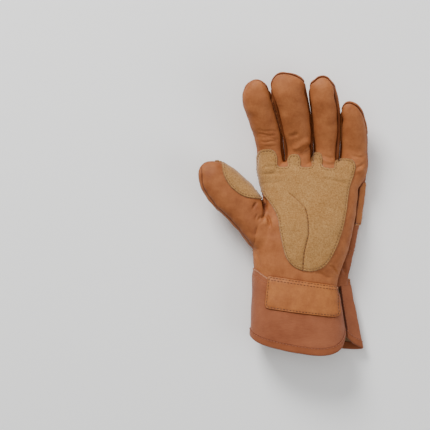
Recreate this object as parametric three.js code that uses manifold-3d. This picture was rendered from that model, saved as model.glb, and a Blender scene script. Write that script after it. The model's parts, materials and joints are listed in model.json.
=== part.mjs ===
// Leather and canvas work glove for a left hand, lying on its back with the palm up.
// Millimetres, +Z up, fingers towards +Y, thumb towards -X. The origin is the middle of the
// glove's outline, at the surface that it lies on.
import * as THREE from "three";
import { mergeVertices } from "three/addons/utils/BufferGeometryUtils.js";
import Module from "manifold-3d";

const wasm = await Module();
wasm.setup();

// Driving sizes
const WALL = 2.0; // leather or canvas with its lining
const GAP = 0.3; // between two pieces that are sewn together
const PATCH = 1.5; // leather that is sewn on top of the wall
const BODY_SIDES = { front: 12, back: 24 };
const DIGIT_SIDES = 10;
const ROUNDNESS = 2.35; // exponent of each section: 2 is an ellipse, more is squarer
const FLARE_ANGLE = 32; // degrees from the side seam to where the back is widest
const FLATTENED = 1.06; // how much a section is pressed into the surface that it lies on
const STRIP = 5.5; // half height of the leather strips along the sides of the fingers
const STRIP_ENDS = { from: 0.66, to: 0.86 }; // share of a finger over which a strip runs out
const WRIST_END = -66; // where the hand's wall ends, inside the cuff

const rows = (columns, ...data) => {
  const names = columns.split(" ");
  return data.map((values) => Object.fromEntries(names.map((name, i) => [name, values[i]])));
};

// Hand, from the wrist end inside the cuff to the roots of the fingers
const HAND = rows("y left seam right bottom top middle gather",
  [-68, -27.2, 51.6, 62.4, 3.4, 39.0, 20, 0.2],
  [-57, -27.4, 52.0, 62.8, 3.6, 39.2, 20, 0.8],
  [-50, -28.4, 54.5, 65.0, 4.0, 40.0, 20, 1.8],
  [-38, -29.4, 60.0, 66.4, 5.6, 41.0, 20, 3.2],
  [-24, -28.6, 65.0, 70.4, 3.6, 41.5, 19, 1.6],
  [-9, -26.6, 69.0, 73.4, 1.8, 41.0, 19, 0.2],
  [14, -20.4, 72.2, 76.8, 1.8, 37.0, 18, 0],
  [30, -21.0, 74.6, 78.4, 1.8, 34.6, 17.5, 0],
  [38, -22.8, 76.6, 79.6, 2.0, 33.5, 17, 0],
  [47.3, -24.0, 78.2, 80.4, 3.4, 30.0, 17, 0],
  [51, -22.0, 77.0, 79.0, 7.0, 26.0, 16.5, 0],
);
const GATHERS = 8; // folds that the wrist elastic draws in the back

// Fingers and thumb, from root to tip. wide lies across the digit, thick from its back to its
// front.
const DIGITS = {
  index: { roll: 0, end: [-26.2, 129.4, 51.8], rows: rows("x y z wide thick",
    [-11.0, 29, 17.5, 21.0, 17.0],
    [-11.6, 46, 17.1, 25.8, 27.0],
    [-11.9, 58, 18.2, 25.8, 25.4],
    [-13.0, 67.5, 21.0, 25.9, 22.6],
    [-13.9, 73, 22.8, 26.5, 24.6],
    [-16.9, 86, 28.0, 27.4, 25.6],
    [-21.9, 101.4, 35.8, 28.2, 25.6],
    [-25.2, 112, 41.6, 28.6, 24.8],
    [-26.1, 120, 46.4, 24.2, 20.6],
    [-26.2, 126.4, 50.2, 14.4, 12.4]) },
  middle: { roll: 0, end: [4.5, 136.0, 55.4], rows: rows("x y z wide thick",
    [15.0, 29, 17.5, 21.0, 17.0],
    [15.4, 46, 17.2, 26.6, 27.0],
    [15.4, 60, 19.2, 27.4, 25.0],
    [14.8, 70, 22.8, 28.2, 22.8],
    [14.4, 75, 24.8, 28.6, 25.4],
    [12.6, 88, 30.6, 29.7, 27.6],
    [9.3, 103.5, 38.4, 31.7, 28.0],
    [5.9, 117, 45.8, 32.7, 26.2],
    [4.1, 126, 50.6, 32.4, 21.6],
    [4.0, 132.2, 53.8, 24.8, 14.4]) },
  ring: { roll: -9, end: [34.9, 132.4, 51.8], rows: rows("x y z wide thick",
    [41.0, 29, 17.0, 20.0, 16.0],
    [41.8, 46, 16.7, 24.6, 26.0],
    [42.1, 58, 18.4, 24.5, 24.2],
    [42.4, 67, 20.8, 24.9, 22.2],
    [42.4, 73, 22.8, 25.6, 24.0],
    [42.0, 87, 29.0, 27.0, 25.2],
    [40.6, 103.5, 37.0, 27.6, 25.4],
    [38.6, 115, 43.4, 27.0, 23.2],
    [36.9, 124.4, 48.2, 23.2, 17.4],
    [36.0, 130.0, 50.8, 14.2, 10.4]) },
  little: { roll: -14, end: [63.6, 108.0, 41.4], rows: rows("x y z wide thick",
    [66.0, 29, 17.0, 19.0, 15.0],
    [68.7, 46, 16.2, 27.6, 25.0],
    [68.9, 56, 17.6, 27.2, 23.2],
    [68.9, 66, 20.4, 26.2, 21.6],
    [68.9, 72, 22.6, 25.8, 22.8],
    [68.6, 83, 27.2, 24.6, 23.0],
    [67.0, 94, 33.2, 21.8, 20.2],
    [65.3, 101, 37.2, 18.4, 16.4],
    [64.0, 105.6, 40.0, 11.8, 10.4]) },
  thumb: { roll: 8, end: [-77.2, 48.8, 36.2], rows: rows("x y z wide thick",
    [-12.6, -33.6, 20.0, 25.0, 24.0],
    [-20.2, -20.0, 21.6, 32.4, 31.0],
    [-29.8, -4.0, 24.0, 36.4, 29.8],
    [-40.4, 9.0, 26.2, 38.6, 28.0],
    [-52.6, 21.2, 28.8, 39.8, 27.0],
    [-63.2, 32.0, 31.4, 36.0, 24.8],
    [-70.4, 40.6, 33.8, 28.8, 20.4],
    [-75.0, 46.0, 35.4, 17.0, 13.0]) },
};

// Cuff, outer face, from its sewn edge to the hem
const CUFF = rows("y left seam right bottom top middle",
  [-50, -30.2, 54.6, 65.4, 0.6, 42.6, 20.5],
  [-67, -30.4, 55.0, 65.8, 0.2, 42.8, 20.5],
  [-83, -31.2, 56.6, 68.0, 0, 43.4, 21],
  [-98, -31.8, 58.4, 71.0, 0, 44.2, 21.5],
  [-112, -32.2, 60.4, 74.0, 0, 45.0, 22],
  [-127, -32.4, 61.8, 76.6, 0, 45.8, 22.5],
  [-142, -32.6, 62.8, 78.6, 0, 46.4, 23]);
// Where the cuff begins and its hem ends, by the angle round the wrist from the slit
const CUFF_EDGES = rows("angle begin hem",
  [4, -70.6, -118.0],
  [14, -70.2, -123.6],
  [30, -69.4, -130.4],
  [46, -68.0, -134.8],
  [62, -66.8, -136.8],
  [78, -65.4, -136.4],
  [94, -64.0, -133.8],
  [110, -62.8, -130.8],
  [125, -61.8, -128.2],
  [140, -58.0, -125.4],
  [155, -54.0, -122.0],
  [175, -52.0, -117.4],
  [195, -52.0, -117.0],
  [215, -54.0, -121.0],
  [240, -57.0, -125.2],
  [270, -60.0, -128.4],
  [300, -62.0, -130.4],
  [322, -62.4, -131.0],
  [336, -62.4, -129.6],
  [346, -62.6, -126.0],
  [354, -63.0, -119.6]);
const CUFF_WALL = 2.0;
const HEM = { width: 8, proud: 0.5 }; // turned edge, and how far it stands out of the cuff on each face
const SLIT = { from: 4, to: 354, clear: 3 }; // angles of its two edges, and free of points beside them

// Tabs of the palm patch at the roots of the fingers, and the rest of its edge
const TABS = rows("x wide tip notch",
  [-15.6, 21.0, 63.4, 47.2],
  [10.8, 13.6, 58.6, 46.4],
  [33.0, 11.8, 60.4, 46.4],
  [59.6, 21.6, 54.6, 45.0]);
const TAB_CORNER = { out: 0.44, up: 0.62 }; // of a tab's two shoulders, in its widths and heights
const TAB_TOP = { out: 0.22, up: 0.96 }; // of the two ends of its top
const PATCH_EDGE = [
  [68.4, 38], [65.4, 30], [63.2, 18], [61.0, 2], [56.6, -18], [48.6, -38], [40.6, -49.6],
  [30.4, -54.6], [18.4, -54.2], [8.2, -49], [1.4, -38], [-3.0, -18], [-5.4, -3], [-11.6, 9.6],
  [-17.4, 17.2], [-20.4, 21.4], [-34, 24],
];

// Line round the root of the thumb, from the wrist up to its crotch and out between it and the
// hand: on the palm and on the back
const THUMB_LINE = {
  palm: [[-34, -48], [-29.5, -36], [-27.4, -23], [-24.6, -11.4], [-19.6, -5.4], [-16.6, 2.2],
    [-17.0, 9.0], [-20.4, 16.4], [-23.6, 21.6], [-29.6, 31], [-48, 62]],
  back: [[-36, -48], [-31.5, -36], [-28, -26], [-26.2, -16], [-25.6, -6], [-25.2, 3],
    [-23.6, 11], [-20.6, 17], [-23.6, 21.6], [-29.6, 31], [-48, 62]],
};
// Edge of the suede wedge on the thumb, on its front and on its back
const THUMB_PATCH = {
  front: [[-60, 60], [-59.4, 46], [-57.4, 37], [-51.6, 27.6], [-42.8, 20.0], [-34.8, 16.4],
    [-24, 15.0], [-14, 15]],
  back: [[-60, 60], [-66, 52], [-72, 44], [-74, 34], [-70, 24], [-62, 14.4], [-50, 13],
    [-36, 13.4], [-24, 14.5], [-14, 15]],
};
// On the back of the hand, between the canvas and the leather that runs down from the index finger
const BACK_SEAM = [[-18, -72], [-15.4, -61], [-12.6, -52], [-9, -44], [-7.8, -36], [-8.6, -28],
  [-12, -20], [-15.2, -11], [-16, 2], [-15.8, 14], [-15.2, 26], [-13.6, 36], [-9, 44.4],
  [-3.4, 52], [1.3, 60], [0, 72], [-1.5, 82], [-3.7, 92], [-6.9, 102], [-10, 112], [-12, 140]];
const BACK_MARGIN = 2.0; // from that seam to the strap
const STRAP = { near: -10.6, far: 31.6 };
const TIP_LINES = { middle: 110.6, ring: 103.6, little: 77.8 };
// Leather patch on the front of the cuff, bare
const LABEL = { left: -18, right: 54.8, near: -93, far: -58.6, fall: 10, lean: 2.6, corner: 8 };
const CURVE_STEPS = { thumb: 14, back: 24, patch: 66, wedge: 10 }; // points along each of these lines
// Edges of the plan that cutters reach to, past the glove on every side
const PLAN = { left: -140, right: 130, near: -110, far: 160, low: -20, high: 90 };

const { degToRad: toRad, lerp, clamp } = THREE.MathUtils;
const smooth = (from, to, value) => THREE.MathUtils.smoothstep(value, from, to);
const power = (value) => Math.sign(value) * Math.abs(value) ** (2 / ROUNDNESS);

// The row of a table at a place between two of its rows
function rowAt(table, key, value) {
  const rising = Math.sign(table[1][key] - table[0][key]);
  const found = table.findIndex((row) => (row[key] - value) * rising > 0);
  const next = found > 0 ? found : (found === 0 ? 1 : table.length - 1);
  const [a, b] = [table[next - 1], table[next]];
  const t = clamp((value - a[key]) / (b[key] - a[key]), 0, 1);
  return Object.fromEntries(Object.keys(a).map((name) => [name, lerp(a[name], b[name], t)]));
}

// A point of a section through the hand or cuff. The angle runs from the side seam at the little
// finger over the palm (90 degrees) and the thumb side (180) to the back (270).
function sectionPoint(row, angle, inset = 0) {
  const c = power(Math.cos(toRad(angle)));
  const s = Math.max(-1, power(Math.sin(toRad(angle))) * (angle > 180 ? FLATTENED : 1));
  const left = row.left + inset;
  const seam = row.seam - inset;
  const centre = (left + seam) / 2;
  const half = (seam - left) / 2;
  if (s >= 0)
    return new THREE.Vector3(centre + c * half, row.y, row.middle + s * (row.top - inset - row.middle));
  const fromSeam = 360 - angle;
  const widest = (row.right - inset - centre) / power(Math.cos(toRad(FLARE_ANGLE)));
  const reach = c > 0 ? lerp(half, widest, smooth(0, FLARE_ANGLE, fromSeam)) : half;
  const fold = (row.gather || 0) * smooth(20, 45, fromSeam) * (1 - smooth(140, 165, fromSeam));
  const gather = fold * (0.5 - 0.5 * Math.cos(toRad(fromSeam) * 2 * GATHERS));
  const z = row.middle + s * (row.middle - row.bottom - inset) + gather;
  return new THREE.Vector3(centre + c * reach, row.y, z);
}

function solid(points, faces) {
  const made = new wasm.Manifold(new wasm.Mesh({
    numProp: 3,
    vertProperties: new Float32Array(points.flatMap((p) => [p.x, p.y, p.z])),
    triVerts: new Uint32Array(faces),
  }));
  if (made.volume() >= 0) return made;
  const turned = faces.slice();
  for (let i = 0; i < turned.length; i += 3) [turned[i], turned[i + 1]] = [turned[i + 1], turned[i]];
  return solid(points, turned);
}

const middleOf = (ring) => ring.reduce((sum, p) => sum.add(p), new THREE.Vector3()).divideScalar(ring.length);

// A closed solid through rings of points, with each end closed by a fan round its middle or a tip
function tube(rings, tip = middleOf(rings.at(-1))) {
  const sides = rings[0].length;
  const points = rings.flat();
  const faces = [];
  const last = points.length - sides;
  for (let i = 0; i < sides; i++) {
    const j = (i + 1) % sides;
    for (let r = 0; r < last; r += sides) {
      const [near, nextNear, far, nextFar] = [r + i, r + j, r + i + sides, r + j + sides];
      faces.push(near, nextNear, nextFar, near, nextFar, far);
    }
    faces.push(points.length, j, i, points.length + 1, last + i, last + j);
  }
  return solid([...points, middleOf(rings[0]), tip], faces);
}

// A closed sheet from a grid of outer points and the same grid of inner points
function sheet(outside, inside) {
  const [columns, steps] = [outside.length, outside[0].length];
  const faces = [];
  const inner = columns * steps;
  const quad = (a, b, c, d) => faces.push(a, b, c, a, c, d);
  const id = (u, v) => u * steps + v;
  for (let u = 0; u + 1 < columns; u++)
    for (let v = 0; v + 1 < steps; v++) {
      const corners = [id(u, v), id(u + 1, v), id(u + 1, v + 1), id(u, v + 1)];
      quad(...corners);
      quad(...corners.map((c) => c + inner).reverse());
    }
  const side = (a, b) => quad(b, a, a + inner, b + inner);
  for (let u = 0; u + 1 < columns; u++) {
    side(id(u, 0), id(u + 1, 0));
    side(id(u + 1, steps - 1), id(u, steps - 1));
  }
  for (let v = 0; v + 1 < steps; v++) {
    side(id(0, v + 1), id(0, v));
    side(id(columns - 1, v), id(columns - 1, v + 1));
  }
  return solid([...outside.flat(), ...inside.flat()], faces);
}

function spline(points, steps) {
  const curve = new THREE.SplineCurve(points.map(([x, y]) => new THREE.Vector2(x, y)));
  return curve.getPoints(steps).map((p) => [p.x, p.y]);
}

function solidOf(geometry) {
  geometry.deleteAttribute("normal");
  geometry.deleteAttribute("uv");
  const merged = mergeVertices(geometry, 1e-4);
  return new wasm.Manifold(new wasm.Mesh({
    numProp: 3,
    vertProperties: merged.attributes.position.array,
    triVerts: new Uint32Array(merged.index.array),
  }));
}

// A prism over a plan outline
function prism(outline, low = PLAN.low, high = PLAN.high) {
  const shape = new THREE.Shape(outline.map(([x, y]) => new THREE.Vector2(x, y)));
  const block = new THREE.ExtrudeGeometry(shape, { depth: high - low, bevelEnabled: false });
  return solidOf(block.translate(0, 0, low));
}

const joined = (solids) => solids.reduce((sum, s) => sum.add(s));
const biggest = (s) => s.decompose().sort((a, b) => b.volume() - a.volume())[0];

// Hand: few points over the palm, more over the gathers in the back
const BODY_ANGLES = [
  ...Array.from({ length: BODY_SIDES.front }, (_, i) => (180 * i) / BODY_SIDES.front),
  ...Array.from({ length: BODY_SIDES.back }, (_, i) => 180 + (180 * i) / BODY_SIDES.back),
];
function hand(inset) {
  const end = HAND.length - 1;
  return tube(HAND.map((row, i) => BODY_ANGLES.map((angle) => {
    const point = sectionPoint(row, angle, inset);
    point.y -= i === end ? inset : 0;
    return point;
  })));
}

// Frame of a digit at each of its rows: across it, towards its front and along it
function frames({ rows: table, roll }) {
  const places = table.map(({ x, y, z }) => new THREE.Vector3(x, y, z));
  return table.map((row, i) => {
    const [before, after] = [places[Math.max(i - 1, 0)], places[Math.min(i + 1, table.length - 1)]];
    const along = after.clone().sub(before).normalize();
    const across = new THREE.Vector3(along.y, -along.x, 0).normalize();
    const up = across.clone().cross(along);
    const turn = new THREE.Quaternion().setFromAxisAngle(along, toRad(roll));
    across.applyQuaternion(turn);
    up.applyQuaternion(turn);
    return { row, centre: places[i], along, across, up };
  });
}

const WIDEST = power(Math.cos(Math.PI / DIGIT_SIDES)); // of a digit's points, as a share of its half width
function digitTube(digit, inset) {
  const run = frames(digit);
  const rings = run.filter(({ row }) => row.thick > 2 * inset + 3).map(({ row, centre, across, up }) =>
    Array.from({ length: DIGIT_SIDES }, (_, i) => {
      const angle = (2 * Math.PI * (i + 0.5)) / DIGIT_SIDES;
      return centre.clone()
        .addScaledVector(across, (power(Math.cos(angle)) / WIDEST) * (row.wide / 2 - inset))
        .addScaledVector(up, (power(Math.sin(angle)) / WIDEST) * (row.thick / 2 - inset));
    }));
  return tube(rings, new THREE.Vector3(...digit.end).addScaledVector(run.at(-1).along, -inset));
}

// All the tubes of the glove at one depth in or out of its face
const glove = (inset) =>
  joined([hand(inset), ...Object.values(DIGITS).map((digit) => digitTube(digit, inset))]);

// A box that follows a digit from one row to past its tip, for cutting the wall into panels.
// across and up give its reach from the digit's middle line, at a row and at a share of the way.
const PAST_TIP = 14;
function digitBox(digit, across, up, from = 0) {
  const run = frames(digit);
  const end = run.at(-1);
  run.push({ ...end, centre: end.centre.clone().addScaledVector(end.along, PAST_TIP) });
  const rings = run.slice(from).map((f, i) =>
    [[1, 1], [0, 1], [0, 0], [1, 0]].map(([a, u]) => f.centre.clone()
      .addScaledVector(f.across, across(f.row)[a])
      .addScaledVector(f.up, up(i / (run.length - from - 1))[u])));
  return tube(rings);
}

// The half of the hand on one side of its side seams: sign 1 is the palm, -1 the back
function handHalf(sign, lift) {
  return tube(HAND.slice(0, -1).map(({ y, middle }, i) => {
    const z = middle + lift;
    const end = z + sign * PLAN.high;
    const place = i === 0 ? PLAN.near : y;
    return [[PLAN.right, z], [PLAN.left, z], [PLAN.left, end], [PLAN.right, end]]
      .map(([x, height]) => new THREE.Vector3(x, place, height));
  }));
}

// Whether a leather strip runs along each finger, on its thumb side and its little-finger side
const STRIPS = {
  index: [0, 1],
  middle: [1, 1],
  ring: [1, 1],
  little: [1, 0],
};
const ROOT = 1; // row of a finger where its own panels begin
const FAR = 18; // past a finger's back and front
const THUMB_FAR = 26;
const LAP = 0.6; // of two cutters at a finger's middle line
const THUMB_GAP = 0.36; // sideways, between the hand and the slanting root of the thumb
const MARGIN = 0.45; // past a finger's side, which is half the way to its neighbour

// The palm side or the back of the hand and fingers, with its edges moved by lift
function half(sign, lift) {
  const boxes = Object.entries(STRIPS).flatMap(([name, strip]) => [0, 1].map((side) => {
    const reach = (row) => (strip[side] ? row.wide / 2 + MARGIN : FAR);
    const strength = (t) => strip[side] * (1 - smooth(STRIP_ENDS.from, STRIP_ENDS.to, t));
    const edge = (t) => lift + STRIP * strength(t);
    const up = sign > 0 ? (t) => [edge(t), FAR] : (t) => [-FAR, -edge(t)];
    const sideways = (row) => (side ? [-LAP, reach(row)] : [-reach(row), LAP]);
    return digitBox(DIGITS[name], sideways, up, ROOT);
  }));
  return joined([handHalf(sign, sign * lift), ...boxes]);
}

const SEAM = GAP / 2;
const front = half(1, SEAM);
const back = half(-1, SEAM).subtract(half(1, -SEAM));
// A prism over a band across the whole plan
const across = (near, far) =>
  prism([[PLAN.left, near], [PLAN.right, near], [PLAN.right, far], [PLAN.left, far]]);
const beyondWrist = across(PLAN.near, WRIST_END);
const shell = glove(0).subtract(glove(WALL)).subtract(beyondWrist);
const cover = glove(-PATCH).subtract(glove(-GAP)).subtract(beyondWrist);

const thumbLine = (side) => spline(THUMB_LINE[side], CURVE_STEPS.thumb);
const thumbArea = (side) => {
  const line = thumbLine(side);
  return prism([...line, [PLAN.left, line.at(-1)[1]], [PLAN.left, line[0][1]]]);
};
const handArea = (side) => {
  const line = thumbLine(side).map(([x, y]) => [x + THUMB_GAP, y]);
  return prism([...line, [line.at(-1)[0], PLAN.far], [PLAN.right, PLAN.far],
    [PLAN.right, PLAN.near], [line[0][0], PLAN.near]]);
};
const thumbHalf = (low, high) => digitBox(DIGITS.thumb, () => [-THUMB_FAR, THUMB_FAR], () => [low, high]);
const thumbFront = thumbHalf(SEAM, THUMB_FAR);
const thumbBack = thumbHalf(-THUMB_FAR, -SEAM);

// The side of the back seam towards an edge of the plan, moved by shift
const besideSeam = (side, shift) => {
  const line = spline(BACK_SEAM, CURVE_STEPS.back).map(([x, y]) => [x + shift, y]);
  return prism([...line, [side, line.at(-1)[1]], [side, line[0][1]]]);
};
const leatherSide = besideSeam(PLAN.left, 0);
const canvasSide = besideSeam(PLAN.right, GAP);
const strapSide = besideSeam(PLAN.right, BACK_MARGIN);

const parts = {};
const palmShell = shell.intersect(handArea("palm"));
parts.palm_panel = palmShell.intersect(front);
const underThumb = thumbArea("palm").intersect(thumbHalf(-SEAM, THUMB_FAR));
const backShell = shell.intersect(handArea("back")).intersect(back).subtract(underThumb);
parts.side_panel = backShell.intersect(leatherSide);
let canvas = backShell.intersect(canvasSide);
for (const [name, line] of Object.entries(TIP_LINES)) {
  const sideways = ({ wide }) => [-wide / 2 - MARGIN, wide / 2 + MARGIN];
  const room = digitBox(DIGITS[name], sideways, () => [-FAR, FAR], ROOT + 1);
  parts["tip_" + name] = canvas.intersect(room).intersect(across(line + GAP, PLAN.far));
  canvas = canvas.subtract(room.intersect(across(line, PLAN.far)));
}
parts.back_panel = canvas;
const strips = palmShell.subtract(half(1, -SEAM)).subtract(half(-1, -SEAM)).decompose()
  .sort((a, b) => b.volume() - a.volume()).slice(0, 3)
  .sort((a, b) => a.boundingBox().min[0] - b.boundingBox().min[0]);
["index", "middle", "ring"].forEach((name, i) => { parts["fourchette_" + name] = strips[i]; });
parts.thumb_front = shell.intersect(thumbArea("palm")).intersect(thumbFront);
parts.thumb_back = shell.intersect(thumbArea("back")).intersect(thumbBack);

// Palm patch: the tabs, then round the little-finger side and the wrist to the thumb
const tabs = TABS.flatMap(({ x, wide, tip, notch }) => [
  [x - wide / 2, notch],
  [x - wide * TAB_CORNER.out, lerp(notch, tip, TAB_CORNER.up)],
  [x - wide * TAB_TOP.out, lerp(notch, tip, TAB_TOP.up)],
  [x + wide * TAB_TOP.out, lerp(notch, tip, TAB_TOP.up)],
  [x + wide * TAB_CORNER.out, lerp(notch, tip, TAB_CORNER.up)],
  [x + wide / 2, notch]]);
const patchEdge = spline([...tabs, ...PATCH_EDGE], CURVE_STEPS.patch);
parts.palm_patch = cover.intersect(handArea("palm")).intersect(front)
  .intersect(prism(patchEdge.reverse()));
const wedge = (side) => prism([...spline(THUMB_PATCH[side], CURVE_STEPS.wedge), [0, 60]]);
const wrapFront = thumbHalf(0, THUMB_FAR).intersect(wedge("front")).intersect(thumbArea("palm"));
const wrapBack = thumbHalf(-THUMB_FAR, 0.01).intersect(wedge("back")).intersect(thumbArea("back"));
parts.thumb_patch = cover.intersect(wrapFront.add(wrapBack));
parts.knuckle_strap = cover.intersect(handArea("back")).intersect(back).intersect(strapSide)
  .intersect(across(STRAP.near, STRAP.far));

// Cuff, hem and label, as sheets over the angle round the wrist and the way down the cuff
function cuffSheet(from, to, insets, steps) {
  const inside = [SLIT.from + SLIT.clear, SLIT.to - SLIT.clear];
  const between = BODY_ANGLES.filter((angle) => angle > inside[0] && angle < inside[1]);
  const face = (inset) => [SLIT.from, ...between, SLIT.to].map((angle) => {
    const { begin, hem } = rowAt(CUFF_EDGES, "angle", angle);
    return Array.from({ length: steps + 1 }, (_, k) => {
      const y = lerp(from(begin, hem), to(begin, hem), k / steps);
      return sectionPoint({ ...rowAt(CUFF, "y", y), y }, angle, inset);
    });
  });
  return sheet(face(insets[0]), face(insets[1]));
}
parts.cuff = cuffSheet((begin) => begin, (_, hem) => hem + HEM.width + GAP, [0, CUFF_WALL], 3);
parts.hem = cuffSheet((_, hem) => hem + HEM.width, (_, hem) => hem, [0, CUFF_WALL + HEM.proud], 1);

const cuffTube = (inset) =>
  tube(CUFF.map((row) => BODY_ANGLES.map((angle) => sectionPoint(row, angle, inset))));
const { left, right, near, far, fall, lean, corner } = LABEL;
const drop = (x) => fall * smooth(left, right, x);
const centreLine = (left + right) / 2;
const labelEdge = [[left + lean, far], [right, far - drop(right)],
  [right + 1, near + corner - drop(right)], [right - corner, near - drop(right - corner)],
  [centreLine, near - drop(centreLine)], [left + corner, near], [left, near + corner]];
const overFront = 30; // height that only the front of the cuff reaches
parts.label_patch = cuffTube(-PATCH).subtract(cuffTube(-GAP)).intersect(prism(labelEdge, overFront));

const LEATHER = { color: 0xac6d40, roughness: 0.62, metalness: 0 };
const SUEDE = { color: 0xb88f5f, roughness: 0.92, metalness: 0 };
const CANVAS = { color: 0x9a5b3a, roughness: 0.95, metalness: 0 };
const TRIM = { color: 0x9e5326, roughness: 0.8, metalness: 0 };
const FINISH = { palm_patch: SUEDE, thumb_patch: SUEDE, back_panel: CANVAS, cuff: CANVAS, hem: TRIM };

const group = new THREE.Group();
for (const [name, part] of Object.entries(parts)) {
  const made = biggest(part).getMesh();
  const geometry = new THREE.BufferGeometry()
    .setAttribute("position", new THREE.BufferAttribute(made.vertProperties, 3))
    .setIndex(new THREE.BufferAttribute(made.triVerts, 1));
  const mesh = new THREE.Mesh(geometry, new THREE.MeshStandardMaterial(FINISH[name] || LEATHER));
  mesh.name = name;
  group.add(mesh);
}
const bounds = new THREE.Box3().setFromObject(group);
const centre = bounds.getCenter(new THREE.Vector3());
group.position.set(-centre.x, -centre.y, -bounds.min.z);
export default group;
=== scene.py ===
import json
import math

import bpy
import numpy as np
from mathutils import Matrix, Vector
from mathutils.bvhtree import BVHTree

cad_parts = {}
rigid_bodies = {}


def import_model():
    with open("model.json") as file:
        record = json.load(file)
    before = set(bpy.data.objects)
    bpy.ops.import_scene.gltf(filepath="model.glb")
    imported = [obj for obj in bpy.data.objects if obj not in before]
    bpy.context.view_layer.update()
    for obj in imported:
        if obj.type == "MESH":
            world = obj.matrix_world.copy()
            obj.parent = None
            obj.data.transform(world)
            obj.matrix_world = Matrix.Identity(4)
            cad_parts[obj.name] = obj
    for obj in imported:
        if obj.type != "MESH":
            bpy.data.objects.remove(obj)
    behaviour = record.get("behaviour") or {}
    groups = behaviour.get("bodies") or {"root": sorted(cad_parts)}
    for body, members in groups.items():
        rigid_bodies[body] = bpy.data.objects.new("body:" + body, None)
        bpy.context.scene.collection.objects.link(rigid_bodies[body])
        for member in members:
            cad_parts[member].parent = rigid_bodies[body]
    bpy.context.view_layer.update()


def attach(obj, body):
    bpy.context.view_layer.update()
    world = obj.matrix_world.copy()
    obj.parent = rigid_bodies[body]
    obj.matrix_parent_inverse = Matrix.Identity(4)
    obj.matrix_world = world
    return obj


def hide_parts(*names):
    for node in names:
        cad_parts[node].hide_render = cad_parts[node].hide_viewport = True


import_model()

# The camera looks straight down on the palm from high above, through a long lens.
# The glove fills the right half of the picture, with its fingers at the top.
PIXEL = 0.97  # mm of the glove to one of the picture's 430 pixels
LENS, SENSOR = 500.0, 36.0  # mm
SIGHT = 430 * PIXEL / 1000  # width of the view, in metres, at the height of the palm
PALM_HEIGHT = 0.028
VIEW_MIDDLE = (-0.06666, -0.0002)
camera_data = bpy.data.cameras.new("camera")
camera_data.lens, camera_data.sensor_width = LENS, SENSOR
camera_data.clip_start, camera_data.clip_end = 0.5, 40
camera = bpy.data.objects.new("camera", camera_data)
camera.location = (*VIEW_MIDDLE, PALM_HEIGHT + SIGHT * LENS / SENSOR)
bpy.context.collection.objects.link(camera)
bpy.context.scene.camera = camera


# The table under the glove is a plain matt board, near white.
# One broad soft light stands at the upper left, with weaker ones round it.
def colour(hex_value):
    """An sRGB hex value as linear red, green, blue and alpha."""
    parts = [int(hex_value[i : i + 2], 16) / 255 for i in (1, 3, 5)]
    return [c / 12.92 if c <= 0.04045 else ((c + 0.055) / 1.055) ** 2.4 for c in parts] + [1.0]


def node(tree, kind, settings=None, **inputs):
    """Adds a node, with its settings, and its inputs as values or as links from other sockets."""
    made = tree.nodes.new(kind)
    for name, value in (settings or {}).items():
        setattr(made, name, value)
    for name, value in inputs.items():
        socket = made.inputs[int(name[1:])] if name[1:].isdigit() else made.inputs[name.replace("_", " ")]
        if isinstance(value, bpy.types.NodeSocket):
            tree.links.new(value, socket)
        else:
            socket.default_value = value
    return made


def new_material(name):
    """An empty material's tree, with its shader."""
    made = bpy.data.materials.new(name)
    made.use_nodes = True
    return made, made.node_tree, made.node_tree.nodes["Principled BSDF"]


BOARD_TOP, BOARD_REACH = -0.0004, 6  # in metres: its top lies just under the solids
board, tree, shader = new_material("matt_white_board")
shader.inputs["Base Color"].default_value = colour("#FBFBFA")
shader.inputs["Roughness"].default_value = 0.9
table_mesh = bpy.data.meshes.new("table")
corners = [(x * BOARD_REACH, y * BOARD_REACH, BOARD_TOP) for x, y in ((-1, -1), (1, -1), (1, 1), (-1, 1))]
table_mesh.from_pydata(corners, [], [(0, 1, 2, 3)])
table_mesh.materials.append(board)
table = bpy.data.objects.new("table", table_mesh)
bpy.context.collection.objects.link(table)

LIGHTS = [  # place, breadth in metres, watts
    ("key", (-0.75, 1.45, 1.25), 0.8, 50),
    ("fill", (1.6, -0.5, 1.3), 1.2, 13),
    ("above", (-0.2, 0.3, 2.2), 1.6, 13),
]
for name, place, breadth, watts in LIGHTS:
    light_data = bpy.data.lights.new(name, "AREA")
    light_data.size, light_data.energy = breadth, watts
    light = bpy.data.objects.new(name, light_data)
    light.location = place
    light.rotation_euler = (Vector((0, 0, 0)) - Vector(place)).to_track_quat("-Z", "Y").to_euler()
    bpy.context.collection.objects.link(light)
world = bpy.data.worlds.new("studio")
world.use_nodes = True
world.node_tree.nodes["Background"].inputs["Color"].default_value = colour("#FFFFFF")
world.node_tree.nodes["Background"].inputs["Strength"].default_value = 0.36
bpy.context.scene.world = world


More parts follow.
